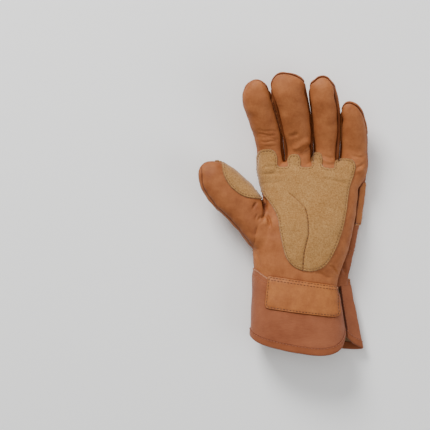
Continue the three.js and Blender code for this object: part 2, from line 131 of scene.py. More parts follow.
# The glove is sewn to the shape of a hand, so its skin starts as one closed form: a flattened
# tube for the hand and one for each finger and the thumb, run together and smoothed. The
# measures are in mm from the middle of the pattern, palm up, fingers towards +Y.
SHIFT = np.array([-0.62, 0.28, 0.0])  # from the pattern to the place on the table
ROUNDNESS = 2.35  # exponent of each section: 2 is an ellipse, more is squarer
FLARE = 32.0  # degrees from the side seam to where the back is widest
PRESSED = 1.06  # the back is a little flat where it lies on the table
SHRINK = 0.85  # the form is made this much smaller, so that fingers side by side stay apart
CELL = 0.95  # size of the remeshed faces
HAND = np.array([  # y, left, seam, right, bottom, top, middle, depth of the gathers
    [-75, -27.2, 51.4, 62.0, 3.4, 39.0, 20, 0.0],
    [-57, -27.4, 55.0, 63.4, 3.6, 39.4, 20, 0.4],
    [-50, -28.4, 58.0, 65.4, 4.2, 40.2, 20, 0.4],
    [-38, -29.4, 62.2, 67.4, 5.4, 41.0, 20, 0.5],
    [-24, -28.6, 66.0, 70.4, 3.8, 41.5, 19, 0.4],
    [-9, -26.6, 69.4, 73.4, 1.8, 41.0, 19, 0.2],
    [14, -20.4, 72.2, 76.8, 1.8, 37.0, 18, 0],
    [30, -21.0, 74.6, 78.4, 1.8, 34.6, 17.5, 0],
    [38, -22.8, 76.6, 79.6, 2.0, 33.5, 17, 0],
    [47.3, -24.0, 78.2, 80.4, 3.4, 30.0, 17, 0],
    [51, -22.0, 77.0, 79.0, 7.0, 26.0, 16.5, 0],
])
DIGITS = {  # roll in degrees, then x, y, z, wide and thick from root to tip
    "index": (0, [
        [-11.0, 29, 17.5, 21.0, 17.0], [-11.6, 46, 17.1, 25.8, 27.0], [-11.9, 58, 18.2, 25.8, 25.4],
        [-13.0, 67.5, 21.0, 25.9, 22.6], [-13.9, 73, 22.8, 26.5, 24.6], [-16.9, 86, 28.0, 27.4, 25.6],
        [-21.9, 101.4, 35.8, 28.2, 25.6], [-25.2, 112, 41.6, 28.6, 24.8], [-26.1, 120, 46.4, 24.2, 20.6],
        [-26.2, 126.4, 50.2, 14.4, 12.4], [-26.2, 129.4, 51.8, 0, 0]]),
    "middle": (0, [
        [15.0, 29, 17.5, 21.0, 17.0], [15.4, 46, 17.2, 26.6, 27.0], [15.4, 60, 19.2, 27.4, 25.0],
        [14.8, 70, 22.8, 28.2, 22.8], [14.4, 75, 24.8, 28.6, 25.4], [12.6, 88, 30.6, 29.7, 27.6],
        [9.3, 103.5, 38.4, 31.7, 28.0], [5.9, 117, 45.8, 32.7, 26.2], [4.1, 126, 50.6, 32.4, 21.6],
        [4.0, 132.2, 53.8, 24.8, 14.4], [4.5, 136.0, 55.4, 0, 0]]),
    "ring": (-10, [
        [41.0, 29, 17.0, 20.0, 16.0], [41.8, 46, 16.7, 24.6, 26.0], [42.1, 58, 18.4, 24.5, 24.2],
        [42.4, 67, 20.8, 24.9, 22.2], [42.4, 73, 22.8, 25.6, 24.0], [42.0, 87, 29.0, 27.0, 25.2],
        [40.6, 103.5, 37.0, 27.6, 25.4], [38.6, 115, 43.4, 27.0, 23.2], [36.9, 124.4, 48.2, 23.2, 17.4],
        [36.0, 130.0, 50.8, 14.2, 10.4], [34.9, 132.4, 51.8, 0, 0]]),
    "little": (-15, [
        [66.0, 29, 17.0, 19.0, 15.0], [68.7, 46, 16.2, 27.6, 25.0], [68.9, 56, 17.6, 27.2, 23.2],
        [68.9, 66, 20.4, 26.2, 21.6], [68.9, 72, 22.6, 25.8, 22.8], [68.6, 83, 27.2, 24.6, 23.0],
        [67.0, 94, 33.2, 21.8, 20.2], [65.3, 101, 37.2, 18.4, 16.4], [64.0, 105.6, 40.0, 11.8, 10.4],
        [63.6, 108.0, 41.4, 0, 0]]),
    "thumb": (9, [
        [-12.6, -33.6, 20.0, 25.0, 24.0], [-20.2, -20.0, 21.6, 32.4, 31.0], [-29.8, -4.0, 24.0, 36.4, 29.8],
        [-40.4, 9.0, 26.2, 38.6, 28.0], [-52.6, 21.2, 28.8, 39.8, 27.0], [-63.2, 32.0, 31.4, 36.0, 24.8],
        [-70.4, 40.6, 33.8, 28.8, 20.4], [-75.0, 46.0, 35.4, 17.0, 13.0], [-77.2, 48.8, 36.2, 0, 0]]),
}


def eased(places, values, at):
    """A smooth curve through a table's values, read at other places."""
    values = np.asarray(values, float)
    places = np.asarray(places, float)
    slope = np.gradient(values, places, axis=0)
    at = np.clip(at, places[0], places[-1])
    i = np.clip(np.searchsorted(places, at, side="right") - 1, 0, len(places) - 2)
    step = places[i + 1] - places[i]
    t = (at - places[i]) / step
    if values.ndim > 1:
        t, step = t[..., None], step[..., None]
    return ((1 + 2 * t) * (1 - t) ** 2 * values[i] + t * (1 - t) ** 2 * step * slope[i]
            + t * t * (3 - 2 * t) * values[i + 1] + t * t * (t - 1) * step * slope[i + 1])


def step_up(low, high, value):
    """0 below low, 1 above high and smooth between."""
    t = np.clip((value - low) / (high - low), 0, 1)
    return t * t * (3 - 2 * t)


def squared(value):
    """Turns a sine or cosine into the glove's squarer section."""
    return np.sign(value) * np.abs(value) ** (2 / ROUNDNESS)


def section(table, y, angle, inset=0.0, gathers=0):
    """Points of the hand or the cuff at places y and angles round it.

    Angle 0 is the side seam at the little finger, 90 the palm and 270 the back.
    """
    row = eased(table[:, 0], table[:, 1:], y)
    left, seam, right = row[..., 0] + inset, row[..., 1] - inset, row[..., 2] - inset
    bottom, top, middle = row[..., 3] + inset, row[..., 4] - inset, row[..., 5]
    c, s = squared(np.cos(np.radians(angle))), squared(np.sin(np.radians(angle)))
    s = np.where(angle > 180, np.maximum(-1, s * PRESSED), s)
    centre, half = (left + seam) / 2, (seam - left) / 2
    widest = (right - centre) / squared(np.cos(np.radians(FLARE)))
    from_seam = 360 - angle
    reach = np.where((s < 0) & (c > 0), half + (widest - half) * step_up(0, FLARE, from_seam), half)
    z = middle + s * np.where(s > 0, top - middle, middle - bottom)
    if gathers:
        fold = row[..., 6] * step_up(20, 45, from_seam) * (1 - step_up(140, 165, from_seam))
        z = z + np.where(angle > 180, fold * (0.5 - 0.5 * np.cos(np.radians(from_seam) * 2 * gathers)), 0)
    return np.stack([centre + c * reach, y + 0 * angle, z], -1)


def tube_faces(rings, sides):
    """Faces of a tube through rings of points, with a fan at each end."""
    i = np.arange(sides)
    j = (i + 1) % sides
    faces = [[r * sides + i, r * sides + j, r * sides + sides + j, r * sides + sides + i]
             for r in range(rings - 1)]
    quads = np.concatenate([np.stack(f, 1) for f in faces])
    tris = np.concatenate([quads[:, [0, 1, 2]], quads[:, [0, 2, 3]]])
    near, far = rings * sides, rings * sides + 1
    last = (rings - 1) * sides
    ends = np.concatenate([np.stack([j, i, 0 * i + near], 1), np.stack([last + i, last + j, 0 * i + far], 1)])
    return np.concatenate([tris, ends])


def closed_tube(rings):
    """Points and faces of a closed tube through rings of points (rings, sides, 3)."""
    count, sides = rings.shape[:2]
    points = np.concatenate([rings.reshape(-1, 3), rings[:1].mean(1), rings[-1:].mean(1)])
    return points, tube_faces(count, sides)


def digit_line(name):
    """The middle line of a digit at even steps, with its directions, half sizes and share of the way."""
    roll, rows = DIGITS[name]
    rows = np.array(rows, float)
    run = np.r_[0, np.cumsum(np.linalg.norm(np.diff(rows[:, :3], axis=0), axis=1))]
    at = np.linspace(0, run[-1], 140)
    centre = eased(run, rows[:, :3], at)
    size = np.sqrt(np.maximum(eased(run, rows[:, 3:] ** 2, at), 1e-6)) / 2
    along = np.gradient(centre, axis=0)
    along /= np.linalg.norm(along, axis=1, keepdims=True)
    across = np.stack([along[:, 1], -along[:, 0], 0 * at], 1)
    across /= np.linalg.norm(across, axis=1, keepdims=True)
    up = np.cross(across, along)
    c, s = math.cos(math.radians(roll)), math.sin(math.radians(roll))
    share = np.interp(at, run, np.arange(len(rows))) - 1
    return centre, along, c * across - s * up, c * up + s * across, size, share / (len(rows) - 2)


LINES = {name: digit_line(name) for name in DIGITS}
ROUND = np.linspace(0, 2 * np.pi, 72, endpoint=False)
OUTLINE = np.stack([squared(np.cos(ROUND)), squared(np.sin(ROUND))], -1)
y, angle = np.meshgrid(np.arange(-75, 50.5, 1.25), np.arange(0, 360, 2.5), indexing="ij")
tubes = [section(HAND, y, angle, SHRINK, gathers=8)]
for centre, _, across, up, size, _ in LINES.values():
    half = np.maximum(size - SHRINK, 0.05)
    tubes.append(centre[:, None] + OUTLINE[None] @ np.stack([across * half[:, :1], up * half[:, 1:]], 1))


def joined(parts):
    """One array of points and one of faces, made of several."""
    points, faces, count = [], [], 0
    for part_points, part_faces in parts:
        points.append(part_points)
        faces.append(part_faces + count)
        count += len(part_points)
    return np.concatenate(points), np.concatenate(faces)


def plain_mesh(name, points, faces):
    """A Blender mesh from arrays of points and triangles."""
    made = bpy.data.meshes.new(name)
    made.vertices.add(len(points))
    made.vertices.foreach_set("co", np.asarray(points, np.float32).ravel())
    made.loops.add(len(faces) * 3)
    made.loops.foreach_set("vertex_index", np.asarray(faces, np.int32).ravel())
    made.polygons.add(len(faces))
    made.polygons.foreach_set("loop_start", np.arange(0, len(faces) * 3, 3, dtype=np.int32))
    made.update(calc_edges=True)
    return made


form = bpy.data.objects.new("form", plain_mesh("form", *joined(closed_tube(rings) for rings in tubes)))
bpy.context.collection.objects.link(form)
remesh = form.modifiers.new("remesh", "REMESH")
remesh.mode, remesh.voxel_size, remesh.adaptivity = "VOXEL", CELL, 0
found = bpy.data.meshes.new_from_object(form.evaluated_get(bpy.context.evaluated_depsgraph_get()))
skin_points = np.empty(len(found.vertices) * 3, np.float32)
found.vertices.foreach_get("co", skin_points)
skin_points = skin_points.reshape(-1, 3).astype(float)
found.calc_loop_triangles()
skin_faces = np.empty(len(found.loop_triangles) * 3, np.int32)
found.loop_triangles.foreach_get("vertices", skin_faces)
skin_faces = skin_faces.reshape(-1, 3)
edges = np.empty(len(found.edges) * 2, np.int32)
found.edges.foreach_get("vertices", edges)
edges = edges.reshape(-1, 2)
bpy.data.objects.remove(form)


def softened(values, edges, times):
    """Values at points, each drawn half way to the mean of its neighbours so many times."""
    shape = values.shape
    values = values.reshape(len(values), -1).copy()
    both = np.concatenate([edges, edges[:, ::-1]])
    order = np.argsort(both[:, 0], kind="stable")
    both = both[order]
    starts = np.searchsorted(both[:, 0], np.arange(len(values)))
    counts = np.diff(np.r_[starts, len(both)])
    for _ in range(times):
        total = np.add.reduceat(values[both[:, 1]], np.minimum(starts, len(both) - 1), axis=0)
        mean = total / np.maximum(counts, 1)[:, None]
        values += 0.5 * np.where(counts[:, None] > 0, mean - values, 0)
    return values.reshape(shape)


def normals_of(points, faces):
    """A unit normal at each point."""
    a, b, c = (points[faces[:, k]] for k in range(3))
    flat = np.cross(b - a, c - a)
    total = np.zeros_like(points)
    for k in range(3):
        np.add.at(total, faces[:, k], flat)
    return total / np.maximum(np.linalg.norm(total, axis=1, keepdims=True), 1e-9)


skin_points = softened(skin_points, edges, 6)
facing = softened(normals_of(skin_points, skin_faces), edges, 4)
facing /= np.linalg.norm(facing, axis=1, keepdims=True)
snug = 0.4 * np.clip((skin_points[:, 1] - 60) / 20, 0, 1)  # the fingers lie against each other
ROUNDED_OFF = 0.12  # what the smoothing takes off
skin_points = skin_points + facing * (SHRINK + ROUNDED_OFF + snug)[:, None]


# Where each point of the skin lies on the hand: how far in front of or behind the side seams,
# how far from the seam round the thumb, and on which finger. The panels are cut by these.
STRIP = 5.5  # half height of the strips along the sides of the fingers
STRIP_ENDS = (0.64, 0.82)  # shares of a finger's length between which they run out
FAR_OUT = -140  # past the thumb, where a field's outline is closed
THUMB_MIDDLE = 24  # height of the thumb's root
THUMB_SEAM = {
    "palm": [(-34, -48), (-29.5, -36), (-27.4, -23), (-24.6, -11.4), (-19.6, -5.4), (-16.6, 2.2),
             (-17.0, 9.0), (-20.4, 16.4), (-23.6, 21.6), (-29.6, 31), (-48, 62)],
    "back": [(-36, -48), (-31.5, -36), (-28, -26), (-26.2, -16), (-25.6, -6), (-25.2, 3), (-23.6, 11),
             (-20.6, 17), (-23.6, 21.6), (-29.6, 31), (-48, 62)],
}


def through(points, pieces=8):
    """A smooth line through points."""
    p = np.array(points, float)
    p = np.concatenate([2 * p[:1] - p[1:2], p, 2 * p[-1:] - p[-2:-1]])
    t = np.linspace(0, 1, pieces, endpoint=False)[:, None]
    runs = [0.5 * (2 * b + (c - a) * t + (2 * a - 5 * b + 4 * c - d) * t**2 + (3 * b - a - 3 * c + d) * t**3)
            for a, b, c, d in zip(p, p[1:], p[2:], p[3:])]
    return np.concatenate(runs + [p[-2:-1]])


def line_distance(at, line):
    """Distance in plan to an open line, and how far along it, in mm."""
    best, along, run = np.full(len(at), 1e9), np.zeros(len(at)), 0.0
    for a, b in zip(line[:-1], line[1:]):
        ab = b - a
        size = np.hypot(*ab)
        if size < 1e-9:
            continue
        t = np.clip((at - a) @ ab / size**2, 0, 1)
        gap = np.hypot(*(at - a - t[:, None] * ab).T)
        near = gap < best
        best[near], along[near] = gap[near], run + t[near] * size
        run += size
    return best, along, run


def area_field(at, outline):
    """Distance in plan to a closed outline, above 0 inside it."""
    outline = np.asarray(outline, float)
    ring = np.concatenate([outline, outline[:1]])
    within = np.zeros(len(at), bool)
    for (ax, ay), (bx, by) in zip(ring[:-1], ring[1:]):
        if ay != by:
            crosses = (ay > at[:, 1]) != (by > at[:, 1])
            within ^= crosses & (at[:, 0] < (bx - ax) * (at[:, 1] - ay) / (by - ay) + ax)
    gap = line_distance(at, ring)[0]
    return np.where(within, gap, -gap)


def digit_place(at, name):
    """Place across, up and past the end from a digit's middle line, its half sizes and share of the way."""
    centre, along, across, up, size, share = LINES[name]
    nearest = np.zeros(len(at), int)
    for start in range(0, len(at), 20000):
        block = at[start : start + 20000]
        nearest[start : start + 20000] = ((block[:, None] - centre[None]) ** 2).sum(-1).argmin(1)
    offset = at - centre[nearest]
    u, v, past = ((offset * way[nearest]).sum(1) for way in (across, up, along))
    return u, v, past, size[nearest], share[nearest]


plan = skin_points[:, :2]
hand_middle = eased(HAND[:, 0], HAND[:, 6], plan[:, 1])
height = skin_points[:, 2] - hand_middle  # above the hand's side seams
in_hand = np.where((plan[:, 0] > -12) & (plan[:, 0] < 68.5) & (plan[:, 1] > 30), STRIP, 0.0)
strip = in_hand.copy()
finger = np.full(len(plan), -1)
nearness = np.full(len(plan), 1e9)
in_finger = step_up(44, 52, plan[:, 1])
FINGERS = ["index", "middle", "ring", "little"]
for k, name in enumerate(FINGERS):
    u, v, past, size, share = digit_place(skin_points, name)
    thick = np.maximum(size, 0.6 * LINES[name][4].max(0))  # its tip counts as over half as thick as the rest
    radial = (u / thick[:, 0]) ** 2 + (v / thick[:, 1]) ** 2 + (past / thick[:, 1]) ** 2
    mine = (radial < nearness) & (plan[:, 1] > 44)
    nearness[mine] = radial[mine]
    finger[mine] = k
    height[mine] = ((1 - in_finger) * (skin_points[:, 2] - hand_middle) + in_finger * v)[mine]
    sides = np.where(u > 0, name != "little", name != "index")
    beside_finger = STRIP * sides * (1 - step_up(*STRIP_ENDS, share))
    strip[mine] = ((1 - in_finger) * in_hand + in_finger * beside_finger)[mine]
thumb_u, thumb_v, *_ = digit_place(skin_points, "thumb")
corner = [(FAR_OUT, 62), (FAR_OUT, -48)]
thumb_fields = [area_field(plan, np.concatenate([through(THUMB_SEAM[k]), corner])) for k in ("back", "palm")]
toward_palm = step_up(-3, 3, skin_points[:, 2] - THUMB_MIDDLE)
thumb_field = thumb_fields[0] * (1 - toward_palm) + thumb_fields[1] * toward_palm
# round the thumb's outer side the seam lies higher, so that its back shows as a rim beside it
thumb_height = thumb_v - 5.0 * step_up(1.0, 9.0, -thumb_u)
COLUMNS = {"front": height - strip, "behind": -height - strip, "thumb": thumb_field,
           "thumb_front": thumb_height, "finger": finger}
names = list(COLUMNS)
skin = np.column_stack([skin_points, facing] + [COLUMNS[k] for k in names])
PLACE = {name: 6 + i for i, name in enumerate(names)}


def crossings(rows, faces, field):
    """Where a field crosses 0 on a sheet.

    The rows at the crossings are worked out on the edges. For each face that the line runs through,
    turned so that its odd corner comes first, come its two crossings and whether that corner is above 0.
    """
    keep = field > 0
    kept = keep[faces].sum(1)
    mixed = faces[(kept == 1) | (kept == 2)]
    single = keep[mixed].sum(1) == 1
    odd = np.where(single[:, None], keep[mixed], ~keep[mixed])
    turned = mixed[np.arange(len(mixed))[:, None], (odd.argmax(1)[:, None] + np.arange(3)) % 3]
    pairs = np.sort(np.concatenate([turned[:, [0, 1]], turned[:, [0, 2]]]), axis=1)
    pairs, place = np.unique(pairs, axis=0, return_inverse=True)
    share = (field[pairs[:, 0]] / (field[pairs[:, 0]] - field[pairs[:, 1]]))[:, None]
    met = rows[pairs[:, 0]] * (1 - share) + rows[pairs[:, 1]] * share
    return met, turned, place.reshape(2, -1), single


def cut(sheet, field):
    """The part of a sheet, its rows and its faces, where a field is above 0, cut cleanly along its edge."""
    rows, faces = sheet
    field = np.where(np.abs(field) < 0.01, 0.01, field)
    whole = (field > 0)[faces].all(1)
    met, turned, (ab, ac), single = crossings(rows, faces, field)
    ab, ac = ab + len(rows), ac + len(rows)
    rows = np.concatenate([rows, met])
    a, b, c = turned.T
    faces = np.concatenate([
        faces[whole],
        np.stack([a, ab, ac], 1)[single],
        np.stack([ab, b, c], 1)[~single],
        np.stack([ab, c, ac], 1)[~single],
    ])
    used, faces = np.unique(faces, return_inverse=True)
    return rows[used], faces.reshape(-1, 3)


def finished(name, points, faces, from_seam, materials, slot, *nodes, sharp=50):
    """A piece from points in mm of the pattern, which stands for its solids in the frame."""
    mesh = plain_mesh(name, (points + SHIFT) / 1000, faces)
    for made in materials:
        mesh.materials.append(made)
    # painted shade: from_seam is each point's distance from its seam, and some pieces make it smaller where
    # shade falls (between the fingers, down the heel, in the canvas's folds, over the fourchettes), so the
    # material darkens there
    kept = mesh.attributes.new("from_seam", "FLOAT", "POINT")
    kept.data.foreach_set("value", from_seam.astype(np.float32))
    mesh.set_sharp_from_angle(angle=math.radians(sharp))
    made = bpy.data.objects.new(name, mesh)
    bpy.context.collection.objects.link(made)
    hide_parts(*nodes)
    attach(made, "root")
    return made


def piece(name, sheet, outer, inner, edge, materials, slot, *nodes):
    """A sewn panel: the sheet at the height outer over the skin, its inside at the height inner.

    The cut edge joins them. edge is each point's distance from its seam, kept for the material, which darkens
    near 0 as seam dirt and painted shade; some pieces make it smaller to paint shade elsewhere.
    """
    rows, faces = sheet
    count = len(rows)
    inner = np.minimum(inner, outer - 0.6)  # it never turns inside out in a deep fold
    points = np.concatenate([rows[:, :3] + rows[:, 3:6] * np.reshape(outer, (-1, 1)),
                             rows[:, :3] + rows[:, 3:6] * np.reshape(inner, (-1, 1))])
    sides = np.concatenate([faces[:, [0, 1]], faces[:, [1, 2]], faces[:, [2, 0]]])
    both = np.sort(sides, axis=1)
    _, place, times = np.unique(both, axis=0, return_inverse=True, return_counts=True)
    rim = sides[times[place.reshape(-1)] == 1]
    a, b = rim.T
    walls = np.concatenate([np.stack([b, a, a + count], 1), np.stack([b, a + count, b + count], 1)])
    all_faces = np.concatenate([faces, faces[:, ::-1] + count, walls])
    made = finished(name, points, all_faces, np.r_[edge, edge], materials, slot, *nodes)
    if len(materials) > 1:
        inside = np.repeat([0, 1, 0], [len(faces), len(faces), len(walls)]).astype(np.int32)
        made.data.polygons.foreach_set("material_index", inside)
    return made


# Palm panel: one piece of smooth orange-brown cowhide for the palm and the front of the four
# fingers. It is turned in at its edges and sewn inside out, so every seam lies in a groove.
LEATHER_THICK = 1.5
THROUGH = 0.7  # how much of a fold's height shows on the inside
SEAM_GAP = 0.02  # half the space between two panels
PALM_CREASES = [  # depth (hills above 0), half width, then a line in plan
    (-0.55, 1.1, [(-26.2, 83.0), (-19, 80.4), (-11, 80.9), (-3, 79.4)]),
    (-0.65, 1.0, [(-25.2, 78.2), (-20, 77.6), (-13, 76.0), (-6, 77.6)]),
    (-0.4, 0.9, [(-21.0, 74.2), (-14, 74.6), (-7, 72.6), (-1.5, 73.4)]),
    (-0.6, 1.0, [(-24.0, 71.2), (-17, 69.9), (-10, 71.0), (-4, 69.0)]),
    (-0.4, 0.9, [(-19.0, 66.9), (-12, 66.0), (-5, 67.6)]),
    (2.3, 2.8, [(8.6, 62.4), (14.6, 66.0), (21.0, 70.0), (27.0, 74.2)]),
    (-1.5, 2.0, [(4.2, 74.4), (9.0, 76.2), (16.0, 78.4)]),
    (-2.1, 1.9, [(15.0, 57.6), (21.0, 61.0), (25.4, 65.0), (29.4, 67.8)]),
    (-0.9, 1.4, [(17.4, 55.6), (23.2, 58.6), (28.0, 60.6)]),
    (-1.0, 1.5, [(37.6, 58.2), (44.0, 55.0), (51.0, 54.2)]),
    (0.9, 1.6, [(36.0, 55.0), (43.0, 51.4), (50.4, 50.6)]),
    (-0.9, 1.2, [(66.0, 57.2), (74.0, 55.4), (80.0, 56.8)]),
    (-1.4, 1.5, [(69.6, 44.2), (74.8, 46.8), (80.2, 50.2)]),
    (0.8, 1.6, [(70.0, 41.0), (76.0, 43.0), (80.0, 46.0)]),
    (-1.3, 0.9, [(43.0, -50.6), (47.6, -50.4), (51.0, -54.6), (54.0, -59.4)]),
    (-0.8, 1.0, [(31.0, -56.6), (36.5, -57.2), (42.0, -60.6), (49.0, -61.8)]),
    (-0.9, 1.3, [(-27.6, -35.0), (-25.2, -40.2), (-23.2, -46.2), (-22.8, -52.0)]),
    (-3.0, 1.5, [(-20.4, 18.0), (-18.3, 14.8), (-17.7, 7.0), (-17.8, 0.8), (-19.4, -2.6), (-20.4, -6.2)]),
    (-2.2, 1.2, [(-17.4, 2.0), (-16.3, -0.6), (-14.3, -3.9), (-13.0, -8.5), (-12.4, -13.4)]),
    (-1.4, 1.0, [(-24.2, 1.6), (-26.0, -2.0), (-27.4, -6.6)]),
    (-1.5, 1.1, [(-24.6, 12.6), (-28.0, 8.4), (-29.6, 3.4)]),
    (1.1, 2.2, [(-17.0, 0.0), (-16.4, -6.0), (-17.6, -12.0)]),
    (-1.5, 1.4, [(-29.2, 8.2), (-24.2, 12.0)]),
    (-1.8, 1.5, [(-25.2, -7.2), (-20.4, -0.6)]),
    (-1.3, 1.5, [(-27.2, -22.8), (-25.2, -10.2)]),
]


def creased(at, creases, ends=5.0, bank=0.0):
    """Height of all the creases at points in plan. Each fades out over its ends, and its banks may swell."""
    total = np.zeros(len(at))
    for depth, wide, line in creases:
        gap, along, run = line_distance(at, through(line, 5))
        profile = np.exp(-((gap / wide) ** 2)) - bank * np.exp(-(((gap / wide - 2.2) / 0.9) ** 2))
        total += depth * profile * step_up(-0.5, ends, along) * step_up(-0.5, ends, run - along)
    return total


def palm_creases(rows, below=0.0):
    """The palm's creases, which fade out past a side seam. below is the height over that seam."""
    return creased(rows[:, :2], PALM_CREASES) * step_up(-7, 0, below)


def groove(edge, depth=0.9, wide=1.1):
    """How far the leather turns down to its seam."""
    return -depth * np.exp(-((edge / wide) ** 2))


def wrinkled(at, size, seed, share=1.0):
    """Soft uneven swellings of about the given size, as a sum of waves in fixed directions."""
    made = np.zeros(len(at))
    waves = np.random.default_rng(seed)
    for _ in range(9):
        way = waves.normal(size=3)
        way /= np.linalg.norm(way)
        made += np.sin(at @ way * (2 * np.pi / (size * waves.uniform(0.7, 1.6))) + waves.uniform(0, 6.28))
    return share * made / 3


def darker_by_seams_and_shade(tree, body, wide, most, tint):
    """A colour that takes on a tint where the from_seam attribute is low, out to a width in mm: along the
    piece's seams as seam dirt and painted shade, and wherever a piece lowers that attribute to paint shade.
    """
    seam = node(tree, "ShaderNodeAttribute", {"attribute_name": "from_seam"})
    near = node(tree, "ShaderNodeMapRange", {"interpolation_type": "SMOOTHSTEP"}, _0=seam.outputs["Fac"],
                _1=0.0, _2=wide, _3=most, _4=0.0)
    return node(tree, "ShaderNodeMix", {"data_type": "RGBA", "blend_type": "MULTIPLY"}, _0=near.outputs[0],
                _6=body, _7=colour(tint)).outputs[2]


def grain_leather(name, light, dark, rough=0.6):
    """Full-grain cowhide, tanned and waxed: soft blotches, fine pores, a dull gloss, darker in its seams as
    seam dirt and painted shade, and wherever a piece paints shade through its seam attribute.
    """
    made, tree, shader = new_material(name)
    at = node(tree, "ShaderNodeTexCoord").outputs["Object"]
    blotch = node(tree, "ShaderNodeTexNoise", Vector=at, Scale=85.0, Detail=3.0, Roughness=0.6)
    fine = node(tree, "ShaderNodeTexNoise", Vector=at, Scale=520.0, Detail=2.0, Roughness=0.6)
    # pores are 0.2 mm apart on the hide, and 1.1 mm here so that they show
    pores = node(tree, "ShaderNodeTexVoronoi", {"feature": "DISTANCE_TO_EDGE"}, Vector=at, Scale=900.0)
    mixed = node(tree, "ShaderNodeMath", {"operation": "MULTIPLY_ADD"}, _0=fine.outputs["Fac"], _1=0.35,
                 _2=blotch.outputs["Fac"])
    tone = node(tree, "ShaderNodeMapRange", _0=mixed.outputs[0], _1=0.45, _2=0.95)
    body = node(tree, "ShaderNodeMix", {"data_type": "RGBA"}, _0=tone.outputs[0], _6=colour(dark),
                _7=colour(light))
    # painted shade and seam dirt: the tint darkens the seams and the places where a piece stores shade in
    # from_seam
    hide = darker_by_seams_and_shade(tree, body.outputs[2], 1.3, 0.75, "#8A5A3C")
    tree.links.new(hide, shader.inputs["Base Color"])
    gloss = node(tree, "ShaderNodeMapRange", _0=fine.outputs["Fac"], _3=rough - 0.06, _4=rough + 0.08)
    tree.links.new(gloss.outputs[0], shader.inputs["Roughness"])
    shader.inputs["IOR"].default_value = 1.45
    shader.inputs["Specular IOR Level"].default_value = 0.25
    relief = node(tree, "ShaderNodeMath", {"operation": "MULTIPLY_ADD"}, _0=pores.outputs["Distance"], _1=0.5,
                  _2=fine.outputs["Fac"])
    bump = node(tree, "ShaderNodeBump", Height=relief.outputs[0], Strength=0.35, Distance=0.0004)
    tree.links.new(bump.outputs[0], shader.inputs["Normal"])
    return made


def fibrous(name, light, dark, scale, strength, depth):
    """Fibres that stand out of brushed cotton or of a cut hide: matt, soft and a little uneven."""
    made, tree, shader = new_material(name)
    at = node(tree, "ShaderNodeTexCoord").outputs["Object"]
    fluff = node(tree, "ShaderNodeTexNoise", Vector=at, Scale=scale, Detail=3.0)
    body = node(tree, "ShaderNodeMix", {"data_type": "RGBA"}, _0=fluff.outputs["Fac"], _6=colour(dark),
                _7=colour(light))
    tree.links.new(body.outputs[2], shader.inputs["Base Color"])
    shader.inputs["Roughness"].default_value = 0.95
    bump = node(tree, "ShaderNodeBump", Height=fluff.outputs["Fac"], Strength=strength, Distance=depth)
    tree.links.new(bump.outputs[0], shader.inputs["Normal"])
    return made


cowhide = grain_leather("waxed_cowhide", "#A8673A", "#8C4F29")
# thin brushed cotton that is glued inside the leather and the duck: pale and without any gloss
lining = fibrous("brushed_cotton_lining", "#B08F69", "#8B6A4A", 700.0, 0.5, 0.0004)


def hand_part(*fields, gap=SEAM_GAP):
    """The skin where all of these fields are above the gap, and its distance from its own edges."""
    sheet = (skin, skin_faces)
    for field in fields:
        sheet = cut(sheet, field(sheet[0]) - gap)
    rows = sheet[0]
    return sheet, np.min([field(rows) for field in fields], axis=0)


def column(name, sign=1.0):
    """Reads one column of a sheet's rows as a field."""
    return lambda rows: sign * rows[:, PLACE[name]]


def wrist_end(rows):
    """Above 0 on the fingers' side of the hand's end inside the cuff."""
    return rows[:, 1] + 72


def by_thumb(rows, edge):
    """How deep a seam's groove is: full, except where the thumb's seam lies flat towards the wrist."""
    beside = np.abs(rows[:, PLACE["thumb"]]) < edge + 0.3
    return np.where(beside, 0.12 + 0.88 * step_up(-8, 10, rows[:, 1]), 1.0)


def between_fingers(rows):
    """From 0 to 1 where the leather turns down between two fingers, out of the light: it deepens the groove
    there and darkens the colour as painted shade.
    """
    inside = step_up(-24, -14, rows[:, 0]) * (1 - step_up(74, 82, rows[:, 0]))
    return step_up(44, 56, rows[:, 1]) * inside


palm_sheet, palm_edge = hand_part(column("front"), column("thumb", -1), wrist_end)
at = palm_sheet[0][:, :3]
folds = creased(at[:, :2], PALM_CREASES) + wrinkled(at, 17, 3, 0.22) + wrinkled(at, 7, 4, 0.06)
turned_in = by_thumb(palm_sheet[0], palm_edge)
# its groove is deeper down the hand's little-finger side, and its colour there is darkened as a painted
# shadow along that seam
heel_side = 1 + 1.2 * step_up(50, 56, at[:, 0]) * (1 - step_up(30, 44, at[:, 1]))
between = between_fingers(palm_sheet[0])
palm_groove = groove(palm_edge, (0.9 + 0.8 * between) * heel_side, 1.1 + 0.9 * between) * turned_in
# painted shade: the seam attribute is made smaller down the little-finger side and between the fingers, so
# the colour darkens there as it would in shade
piece("palm_panel_leather", palm_sheet, palm_groove + folds, folds * THROUGH - LEATHER_THICK,
      palm_edge / (1.25 * heel_side - 0.25) / (1 + 1.6 * between) + 1.2 * (1 - turned_in),
      [cowhide, lining], "leather", "palm_panel")

# Fourchettes: narrow strips of the same leather between the fingers, which give each finger its
# depth. Each runs from the tip of one finger down to the crotch and up the next one.
strip_sheet, strip_edge = hand_part(column("front", -1), column("behind", -1), column("thumb", -1), wrist_end)
rows, faces = strip_sheet
middle_x = rows[faces].mean(1)
centres = np.stack([np.interp(middle_x[:, 1], LINES[a][0][:, 1], LINES[a][0][:, 0]) for a in FINGERS], 1)
beside = (middle_x[:, :1] > centres[:, 1:3]).sum(1)
for k, name in enumerate(FINGERS[:3]):
    used, mine = np.unique(faces[beside == k], return_inverse=True)
    edge = strip_edge[used]
    # painted shade: a third of the distance from the seam, so the whole strip is darkened for the shade
    # between two fingers
    piece("fourchette_leather_" + name, (rows[used], mine.reshape(-1, 3)), groove(edge, 1.1, 1.6),
          0 * edge - LEATHER_THICK, edge / 3, [cowhide, lining], "leather", "fourchette_" + name)

